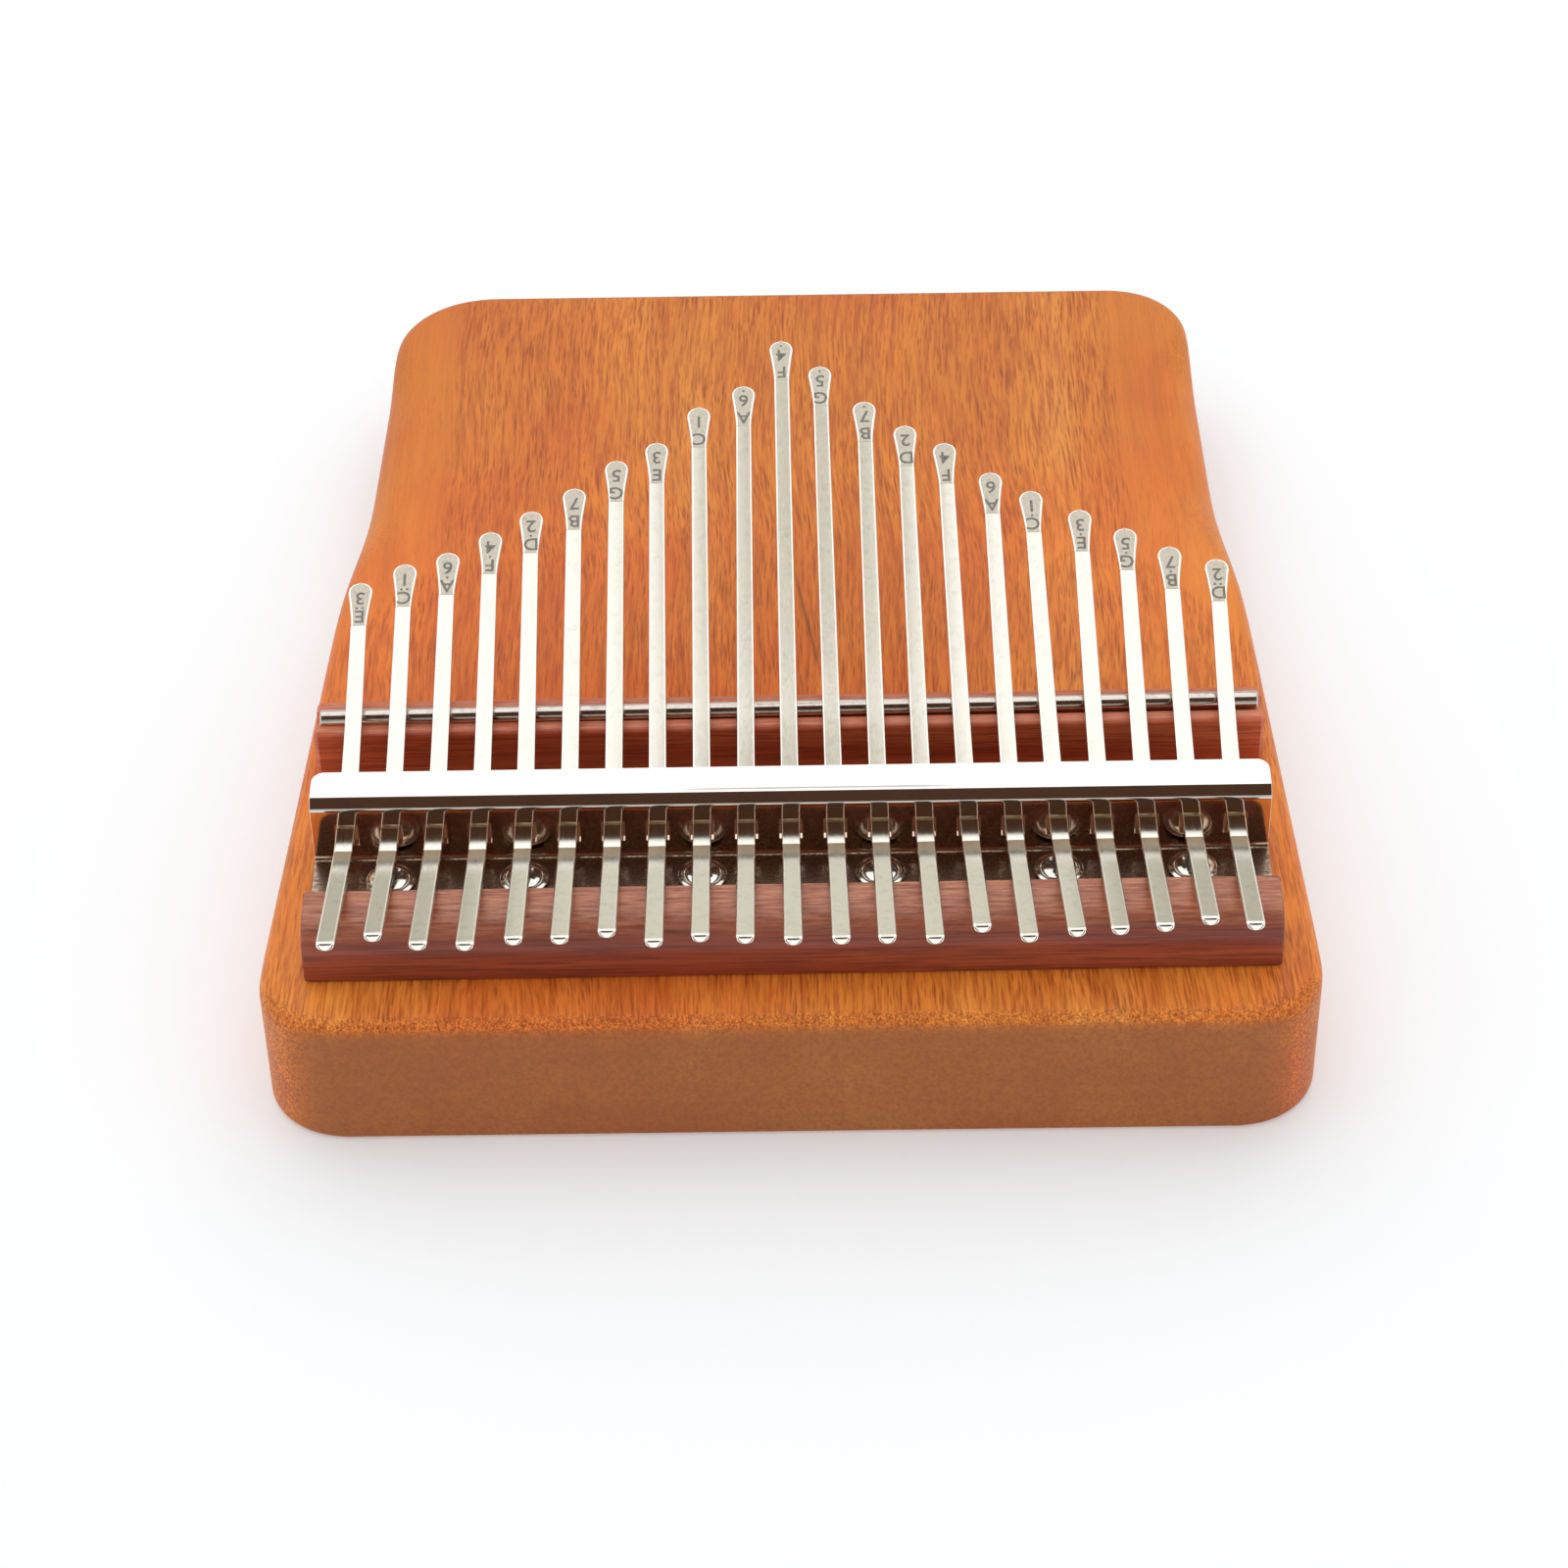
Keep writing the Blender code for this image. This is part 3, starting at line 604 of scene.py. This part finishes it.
# the two faces of the sheet as grids of points, drawn in at the flanges' rounded corners
def bracketFaces(bm, b, profile, columns):
    radius = b["cornerRadius"]
    halfLength = columns[-1]
    middle = (bracketHigh.x + bracketLow.x) / 2
    faces = []
    for offset in (-b["sheet"] / 2, b["sheet"] / 2):
        grid = []
        for y, z, turn in profile:
            reach = min(y - (webY - b["lowerFlange"]), webY + b["topFlange"] - y) if turn == 0 else radius
            cornerCut = radius - math.sqrt(max(radius ** 2 - max(radius - reach, 0) ** 2, 0))
            ends = (cornerCut - halfLength, *columns[1:-1], halfLength - cornerCut)
            place = (y - math.sin(turn) * offset, z + math.cos(turn) * offset)
            grid.append([bm.verts.new((middle + x, *place)) for x in ends])
        faces.append(grid)
    return faces


def buildBracket(b):
    profile = bracketProfile(b)
    halfLength = (bracketHigh.x - bracketLow.x) / 2
    columns = [-halfLength]
    for number in range(1, tineCount + 1):
        columns += [tineX(number) - b["slotWidth"] / 2, tineX(number) + b["slotWidth"] / 2]
    columns.append(halfLength)
    foot = Vector((webY, slotTop - b["slotHeight"]))
    slotRow = next(row for row, point in enumerate(profile) if (Vector(point[:2]) - foot).length < 1e-4)
    bm = bmesh.new()
    under, upper = bracketFaces(bm, b, profile, columns)
    lastRow, lastColumn = len(profile) - 1, len(columns) - 1
    for row in range(lastRow):
        for column in range(lastColumn):
            corners = [(row, column), (row, column + 1), (row + 1, column + 1), (row + 1, column)]
            isSlot = row == slotRow and column % 2 == 1
            if not isSlot:
                bm.faces.new([under[r][c] for r, c in corners])
                bm.faces.new([upper[r][c] for r, c in corners])
            for (r, c), (r2, c2) in zip(corners, corners[1:] + corners[:1]):
                onRim = r == r2 and r in (0, lastRow) or c == c2 and c in (0, lastColumn)
                if isSlot or onRim:
                    bm.faces.new((under[r][c], under[r2][c2], upper[r2][c2], upper[r][c]))
    turnShape(bm, (b["askewAbout"], webY, 0), b["askew"])
    piece = makePiece("pressedBracket", bm, [bracketChrome], "stand",
                      ["pressure_bracket"])
    rounding = piece.modifiers.new("edges", "BEVEL")
    rounding.width = b["edgeRound"] * mm
    rounding.segments = b["edgeSteps"]
    rounding.angle_limit = math.radians(b["edgeAngle"])
    piece.modifiers.new("flats", "WEIGHTED_NORMAL").keep_sharp = True


buildBracket(bracket)
print("bracket built")

# the rear bar keeps a crisp far edge, which the tines bear on, and a broad rounding at its near edge
rearBar = dict(farRound=0.25, farSteps=5, nearRound=4.7, nearSteps=16, endRound=0.5, endSteps=3)


def buildRearBar(b):
    far, near = b["farRound"], b["nearRound"]
    outline = [(rearLow.y, rearLow.z), (rearHigh.y, rearLow.z)]
    outline += arcPoints((rearHigh.y - far, rearHigh.z - far), far, 0, 90, b["farSteps"])
    outline += arcPoints((rearLow.y + near, rearHigh.z - near), near, 90, 180, b["nearSteps"])
    bm = bmesh.new()
    barAlongX(bm, outline, rearHigh.x - rearLow.x, b["endRound"], b["endSteps"])
    makePiece("rearSupportBar", bm, [darkWood], "stand", ["rear_bridge"], sharpAngle=30)


buildRearBar(rearBar)

# a ground rod with lightly broken ends, lying a little askew in its groove
rod = dict(endRound=0.3, endSteps=3, sides=48, askew=0.3)


def buildRod(r):
    outline = arcPoints((rodY, rodZ), rodRadius, 0, 360, r["sides"])[:-1]
    bm = bmesh.new()
    barAlongX(bm, outline, rodHigh.x - rodLow.x, r["endRound"], r["endSteps"], r["askew"])
    makePiece("fulcrumRod", bm, [rodSteel], "stand", ["bridge_rod"])


buildRod(rod)
print("rear bar and rod built")

# pan head screws with a raised rim and a cross recess, each turned as it was driven; domeEnd is the
# turn in degrees at which the solid's dome is cut off
screw = dict(head=6.1, rim=7.3, dome=0.9, domeEnd=72, domeFullness=0.8, domeSteps=10, rimThickness=0.4,
             rimRound=0.16, rimFlat=0.12, rimStep=0.06, shank=3.0, point=2.0, pointShare=0.2, sides=48,
             turns=(18, 62, 40, 8, 71, 33))
recess = dict(length=4.2, width=0.95, depth=0.85, footShare=0.55, mouthShare=1.06)


def buildScrew(index, s):
    low, high = boxOf("screw_%d" % index)
    x, y = (low.x + high.x) / 2, (low.y + high.y) / 2
    under = high.z - s["rimThickness"] - s["dome"] * math.sin(math.radians(s["domeEnd"]))
    rimTop = under + s["rimThickness"]
    domeFoot = rimTop + s["rimStep"]
    rim, head, shank, rounding = s["rim"] / 2, s["head"] / 2, s["shank"] / 2, s["rimRound"]
    profile = [(shank * s["pointShare"], low.z), (shank, low.z + s["point"]), (shank, under),
               (rim - rounding, under)]
    for turn in quarterTurns(2):
        profile.append((rim - rounding * (1 - math.cos(turn)), rimTop - rounding * (1 - math.sin(turn))))
    profile += [(head + s["rimFlat"], rimTop), (head, domeFoot)]
    for turn in quarterTurns(s["domeSteps"])[1:-1]:
        reach = head * math.cos(turn) ** s["domeFullness"]
        profile.append((reach, domeFoot + (high.z - domeFoot) * math.sin(turn)))
    profile.append((0.02, high.z))
    bm = bmesh.new()
    loft(bm, [[(*point, z) for point in arcPoints((x, y), r, 0, 360, s["sides"])[:-1]] for r, z in profile])
    piece = makePiece("panHeadScrew_%d" % index, bm, [screwNickel, stampGrime], "stand",
                      ["screw_%d" % index])
    carveCross(piece, (x, y, high.z), recess, math.radians(s["turns"][index - 1]))


# cuts the cross recess with a tapered four-armed cutter, then drops the cutter
def carveCross(piece, top, c, turn):
    half, arm = c["width"] / 2, c["length"] / 2
    plan = [(half, half), (half, arm), (-half, arm), (-half, half), (-arm, half), (-arm, -half),
            (-half, -half), (-half, -arm), (half, -arm), (half, -half), (arm, -half), (arm, half)]
    rings = []
    for share, rise in ((c["footShare"], -c["depth"]), (1.0, -0.05), (c["mouthShare"], 0.5)):
        ring = []
        for u, v in plan:
            u *= share if abs(u) == arm else 0.5 + share / 2
            v *= share if abs(v) == arm else 0.5 + share / 2
            x = top[0] + u * math.cos(turn) - v * math.sin(turn)
            y = top[1] + u * math.sin(turn) + v * math.cos(turn)
            ring.append((x, y, top[2] + rise))
        rings.append(ring)
    bm = bmesh.new()
    loft(bm, rings)
    finishShape(bm)
    for face in bm.faces:
        face.material_index = 1
    cutter = addObject("crossCutter", meshFrom(bm, "crossCutter", [screwNickel, stampGrime]))
    boolean = piece.modifiers.new("cross", "BOOLEAN")
    boolean.object = cutter
    boolean.solver = "EXACT"
    piece.data = finalMesh(piece)
    piece.modifiers.clear()
    piece.data.set_sharp_from_angle(angle=math.radians(35))
    bpy.data.objects.remove(cutter)


for index in range(1, len(screw["turns"]) + 1):
    buildScrew(index, screw)
print("screws built")

# each tine is a strip that dips through its slot: straight up over the rear bar's edge behind a
# kink, nearly level through the slot, then sprung over the rod; its playing end is beaten flat
tine = dict(thickness=1.0, width=2.75, narrowWidth=2.42, edgeRound=0.24, edgeSteps=4,
            tailLength=1.3, tailCorner=2.8, tailEdge=0.32, tailEdgeEnd=8.0, nose=0.95, noseShare=0.06,
            rearRound=1.3, levelRun=6.3, kinkRound=0.22, step=0.4,
            paddleLength=8.2, paddleWidth=3.75, paddleThickness=0.675, paddleEdge=0.3, flareCurve=1.4,
            tipRound=2.0, tipCorner=2.3, tipReach=0.6)


# bearing points of the strip's middle line, the press of the slot, and the slopes of its parts
def sprungStrip(t):
    reach = seatGap + t["thickness"] / 2
    rearReach = t["rearRound"] + reach
    webZ = slotTop - reach
    down = up = 0.0
    for attempt in range(12):
        rear = (rearHigh.y - t["rearRound"] + rearReach * math.sin(down),
                rearHigh.z - t["rearRound"] + rearReach * math.cos(down))
        bearing = (rodY - (rodRadius + reach) * math.sin(up), rodZ + (rodRadius + reach) * math.cos(up))
        behind, ahead = webY - rear[0], bearing[0] - webY
        chord = (bearing[1] - rear[1]) / (behind + ahead)
        press = rear[1] + chord * behind - webZ
        down = math.atan(press * (behind + 2 * ahead) / (2 * behind * ahead) - chord)
        up = math.atan(press * (2 * behind + ahead) / (2 * behind * ahead) + chord)
    stiff = press / (2 * ahead * ahead * behind)
    levelSlope = chord + stiff * (2 * ahead * behind - 2 * ahead * ahead)
    kink = (webY - t["levelRun"], webZ - levelSlope * t["levelRun"])
    far = rearBar["farRound"]
    run, rise = kink[0] - (rearHigh.y - far), rearHigh.z - far - kink[1]
    tailDown = math.atan2(rise, run) + math.asin((far + reach) / math.hypot(run, rise))
    return dict(rod=bearing, behind=behind, ahead=ahead, chord=chord, stiff=stiff, up=up,
                levelSlope=levelSlope, kink=kink, kinkRound=t["kinkRound"], tailSlope=-math.tan(tailDown))


# height and heading of the strip's middle line at a place along Y
def stripAt(strip, y):
    bearingY, bearingZ = strip["rod"]
    kinkY, kinkZ = strip["kink"]
    level, tail, radius = strip["levelSlope"], strip["tailSlope"], strip["kinkRound"]
    if y >= bearingY:
        return bearingZ + (y - bearingY) * math.tan(strip["up"]), strip["up"]
    if y >= webY:
        run, ahead = bearingY - y, strip["ahead"]
        span = ahead * ahead + 2 * ahead * strip["behind"]
        z = bearingZ - strip["chord"] * run - strip["stiff"] * run * (span - run * run)
        return z, math.atan(strip["chord"] + strip["stiff"] * (span - 3 * run * run))
    if y >= kinkY + radius:
        return kinkZ + level * (y - kinkY), math.atan(level)
    if y <= kinkY - radius:
        return kinkZ + tail * (y - kinkY), math.atan(tail)
    along = y - kinkY + radius
    z = kinkZ - tail * radius + tail * along + (level - tail) * along * along / (4 * radius)
    return z, math.atan(tail + (level - tail) * along / (2 * radius))


# half width, thickness, edge rounding and nose height share of a tine at a place along Y
def tineSection(t, y, tail, tip, level):
    paddle = tip - t["paddleLength"] * level
    widest = tip - t["tipRound"] * level
    half, narrow, wide = t["width"] / 2, t["narrowWidth"] / 2, t["paddleWidth"] / 2
    half += (narrow - half) * min(max((y - webY) / (paddle - webY), 0), 1)
    if y > paddle:
        half = narrow + (wide - narrow) * min((y - paddle) / (widest - paddle), 1) ** t["flareCurve"]
    if y > widest:
        half *= (1 - min((y - widest) / (tip - widest), 1) ** t["tipCorner"]) ** (1 / t["tipCorner"])
    if y < tail + t["tailLength"]:
        half *= (1 - (1 - (y - tail) / t["tailLength"]) ** t["tailCorner"]) ** (1 / t["tailCorner"])
    thickness = eased(y, paddle - t["step"] * level, paddle, t["thickness"], t["paddleThickness"])
    edge = eased(y, paddle, paddle + 1, t["edgeRound"], t["paddleEdge"])
    tailEdgeEnd = webY - t["tailEdgeEnd"]
    edge = eased(y, tailEdgeEnd, tailEdgeEnd + 1, t["tailEdge"], edge)
    nose = math.sqrt(1 - (1 - min((y - tail) / t["nose"], 1)) ** 2)
    return half, thickness, edge, max(nose, t["noseShare"])


# the places along Y that need points, dense at the rounded tail, the kink, the step and the tip
def tinePlaces(t, tail, tip, level, strip):
    paddle = tip - t["paddleLength"] * level
    widest = tip - t["tipRound"] * level
    kink, radius = strip["kink"][0], t["kinkRound"]
    places = [tail + t["tailLength"] * (1 - math.cos(a)) for a in quarterTurns(14)]
    spans = [(kink - radius, 5), (kink + radius, 6), (webY, 3), (strip["rod"][0], 14),
             (paddle - t["step"] * level, 5), (paddle, 5), (widest, 8)]
    for end, steps in spans:
        start = places[-1]
        places += [start + (end - start) * step / steps for step in range(1, steps + 1)]
    return places + [widest + (tip - widest) * math.sin(a) for a in quarterTurns(12)[1:]]


# where a point of a tine lies, from its place along the strip, across it and above its middle line
def onTine(strip, pivot, number, y, across, up):
    yaw = -math.atan2(pivot[0] - tineX(number), pivot[1] - webY)
    z, heading = stripAt(strip, y)
    along = y - math.sin(heading) * up - webY
    x = tineX(number) + across * math.cos(yaw) - along * math.sin(yaw)
    return x, webY + across * math.sin(yaw) + along * math.cos(yaw), z + math.cos(heading) * up


# its rings lie one over the other, from the underside up round both edges to the top
def buildTine(number, t, strip, pivot):
    node = "tine_%02d" % number
    low, high = boxOf(node)
    level = math.cos(strip["up"])
    lean = t["thickness"] / 2 * math.sin(strip["up"])
    tail, tip = low.y + lean, high.y - lean + t["tipReach"]
    places = tinePlaces(t, tail, tip, level, strip)
    sections = [tineSection(t, y, tail, tip, level) for y in places]
    outline = [(half, y) for (half, thickness, edge, nose), y in zip(sections, places)]
    outline += [(-x, y) for x, y in reversed(outline)]
    sections += reversed(sections)
    count = len(outline)
    normals = outlineNormals(outline)
    bm = bmesh.new()
    levels = []
    quarter = quarterTurns(t["edgeSteps"])
    for turn, top in [(turn - math.pi / 2, False) for turn in quarter] + [(turn, True) for turn in quarter]:
        ring = []
        for (x, y), normal, (half, thickness, edge, nose) in zip(outline, normals, sections):
            height = thickness * nose
            radius = min(edge, height * 0.48, max(abs(x), 0.02) * 0.9)
            inset = radius * (1 - math.cos(turn))
            up = -t["thickness"] / 2 + (height - radius if top else radius) + radius * math.sin(turn)
            along, across = y - normal.y * inset, x - normal.x * inset
            ring.append(bm.verts.new(onTine(strip, pivot, number, along, across, up)))
        levels.append(ring)
    # the upper rounded edges take the steel with the painted highlight
    for row, (lower, upper) in enumerate(zip(levels, levels[1:])):
        for index in range(count):
            after = (index + 1) % count
            face = bm.faces.new((lower[index], lower[after], upper[after], upper[index]))
            face.material_index = 2 if row > t["edgeSteps"] else 0
    paddleStart = tip - t["paddleLength"] * level - 0.1
    for ring in (levels[0], levels[-1]):
        for index in range(count // 2 - 1):
            across = count - 1 - index
            face = bm.faces.new((ring[index], ring[index + 1], ring[across - 1], ring[across]))
            face.material_index = 1 if face.calc_center_median().y > paddleStart else 0
    piece = makePiece("springTine_%02d" % number, bm, [stripSteel, paddleSteel, highlightEdgeSteel], node,
                      [node], sharpAngle=50)
    piece.modifiers.new("flats", "WEIGHTED_NORMAL").keep_sharp = True
    return tip


strip = sprungStrip(tine)
pivots = {joint["child"]: Vector(joint["pos_m"]) / mm for joint in frame["joints"]}
tips = {}
for number in range(1, tineCount + 1):
    tips[number] = buildTine(number, tine, strip, pivots["tine_%02d" % number])
print("tines built")

# note marks: the scale degree nearest the tip, octave dots, and the note's letter; they are struck
# to be read from the far end
marks = dict(notes=("E6", "C6", "A5", "F5", "D5", "B4", "G4", "E4", "C4", "A3", "F3",
                    "G3", "B3", "D4", "F4", "A4", "C5", "E5", "G5", "B5", "D6"),
             size=3.3, digitFromTip=3.1, letterFromTip=6.6, stroke=0.04, lift=0.012,
             dots={6: (-0.45, 0.45), 5: (0,), 3: (0,)}, dot=0.42, dotsFromTip=4.95, lowDotFromTip=1.1)


def glyphMesh(text, m):
    curve = bpy.data.curves.new("stamp", "FONT")
    curve.body = text
    curve.size = m["size"]
    curve.offset = m["stroke"]
    holder = addObject("stamp", curve)
    bpy.context.view_layer.update()
    mesh = finalMesh(holder)
    bpy.data.objects.remove(holder)
    return mesh


def buildMarks(number, m, t):
    note, octave = m["notes"][number - 1][0], int(m["notes"][number - 1][1])
    degree = str("CDEFGAB".index(note) + 1)
    node = "tine_%02d" % number
    bm = bmesh.new()
    for text, fromTip in ((degree, m["digitFromTip"]), (note, m["letterFromTip"])):
        glyph = glyphMesh(text, m)
        xs = [v.co.x for v in glyph.vertices]
        ys = [v.co.y for v in glyph.vertices]
        middleX, middleY = (min(xs) + max(xs)) / 2, (min(ys) + max(ys)) / 2
        added = [bm.verts.new((middleX - v.co.x, middleY - v.co.y - fromTip, 0)) for v in glyph.vertices]
        for polygon in glyph.polygons:
            bm.faces.new([added[i] for i in polygon.vertices])
    dotPlace = m["lowDotFromTip"] if octave == 3 else m["dotsFromTip"]
    for across in m["dots"].get(octave, ()):
        place = Matrix.Translation((across, -dotPlace, 0))
        bmesh.ops.create_circle(bm, cap_ends=True, radius=m["dot"] / 2, segments=10, matrix=place)
    up = -t["thickness"] / 2 + t["paddleThickness"] + m["lift"]
    for vert in bm.verts:
        y = tips[number] + vert.co.y * math.cos(strip["up"])
        vert.co = onTine(strip, pivots[node], number, y, vert.co.x, up)
    makePiece("noteMark_%02d" % number, bm, [stampGrime], node)


for number in range(1, tineCount + 1):
    buildMarks(number, marks, tine)
print("note marks stamped")

# painted light: the front bridge takes the lighter copy of the bar wood
frontBridge = frame["nodes"]["front_bridge"].data
frontBridge.materials.clear()
frontBridge.materials.append(litBarWood)


# 1 for what the camera and the mirrors see, and 0 for light on matt surfaces
def seenDirectly(tree):
    rays = addNode(tree, "LightPath").outputs
    seen = addNode(tree, "Math", [rays["Is Camera Ray"], rays["Is Glossy Ray"]], operation="MAXIMUM")
    return addNode(tree, "Math", [seen, rays["Is Transmission Ray"]], operation="MAXIMUM")


# the table: pale and matt, seen a little brighter than it is lit so that it runs out to white
table = dict(size=6.0, colour="#E3E6E8", lift=0.23)


def buildTable(t):
    bm = bmesh.new()
    bmesh.ops.create_grid(bm, x_segments=1, y_segments=1, size=t["size"] / 2)
    material, tree, shader = newMaterial("matt table", {"Roughness": 0.8, "Specular IOR Level": 0.2})
    glow = addNode(tree, "Math", [seenDirectly(tree), t["lift"]], operation="MULTIPLY")
    setInputs(shader, {"Base Color": linear(t["colour"]), "Emission Color": (1, 1, 1, 1),
                       "Emission Strength": glow})
    addObject("table", meshFrom(bm, "table", [material]))


buildTable(table)

# studio cards curve over the table, at radii in metres; their places are degrees up from the far
# horizon, and some are there only for what the mirrors show
card = dict(half=0.85, shift=0.0, radius=1.3, onlyMirrored=False)
cards = [dict(card, name="farCard", start=-2, end=24, colour="#D6D0C4", glow=0.98),
         dict(card, name="farGlow", start=-2, end=24, half=0.14, radius=1.28, colour="#D8D4C8", glow=1.32),
         dict(card, name="softBox", start=36, end=100, shift=-0.12, radius=1.31, colour="#FFFFFF", glow=1.55),
         dict(card, name="gapCard", start=50, end=71, half=0.06, shift=0.01, radius=1.29, colour="#FFF4E6",
              glow=0.74),
         dict(card, name="darkDrape", start=102, end=157, half=0.8, colour="#52392B", glow=1.0,
              onlyMirrored=True),
         dict(card, name="nearCard", start=159, end=182, half=0.8, colour="#D0CBC2", glow=1.0,
              onlyMirrored=True)]


def buildCard(c, steps=24):
    bm = bmesh.new()
    rings = []
    for y, z in arcPoints((0, 0), c["radius"], c["start"], c["end"], steps):
        rings.append([bm.verts.new((c["shift"] + side * c["half"], y, z)) for side in (-1, 1)])
    for first, second in zip(rings, rings[1:]):
        bm.faces.new((first[0], first[1], second[1], second[0]))
    material = bpy.data.materials.new(c["name"])
    material.use_nodes = True
    tree = material.node_tree
    tree.nodes.clear()
    emission = addNode(tree, "Emission", {"Color": linear(c["colour"]), "Strength": c["glow"]})
    addNode(tree, "OutputMaterial", [emission])
    made = addObject(c["name"], meshFrom(bm, c["name"], [material]))
    made.visible_camera = False
    made.visible_diffuse = made.visible_shadow = not c["onlyMirrored"]


for each in cards:
    buildCard(each)

studio = dict(ambient=0.77, seen=1.0)
world = bpy.data.worlds.new("studio")
bpy.context.scene.world = world
world.use_nodes = True
sky = world.node_tree
brightness = addNode(sky, "MapRange", [seenDirectly(sky), 0, 1, studio["ambient"], studio["seen"]])
setInputs(sky.nodes["Background"], {"Color": (1, 1, 1, 1), "Strength": brightness})
print("studio set")

# the camera stands at the tail end and looks down over the tines; turns are in degrees
shot = dict(place=(0.7, -511.7, 443.8), pitch=41.72, turn=-0.2, roll=-1.12, lens=95.2)
cameraData = bpy.data.cameras.new("camera")
cameraData.lens = shot["lens"]
cameraData.sensor_width = 36
cameraData.clip_start = 0.01
camera = addObject("camera", cameraData)
turn, pitch, roll = [math.radians(angle) for angle in (-shot["turn"], 90 - shot["pitch"], shot["roll"])]
aim = Matrix.Rotation(turn, 4, "Z") @ Matrix.Rotation(pitch, 4, "X") @ Matrix.Rotation(roll, 4, "Z")
camera.matrix_world = Matrix.Translation(Vector(shot["place"]) * mm) @ aim
bpy.context.scene.camera = camera
bpy.context.scene.view_settings.view_transform = "Standard"
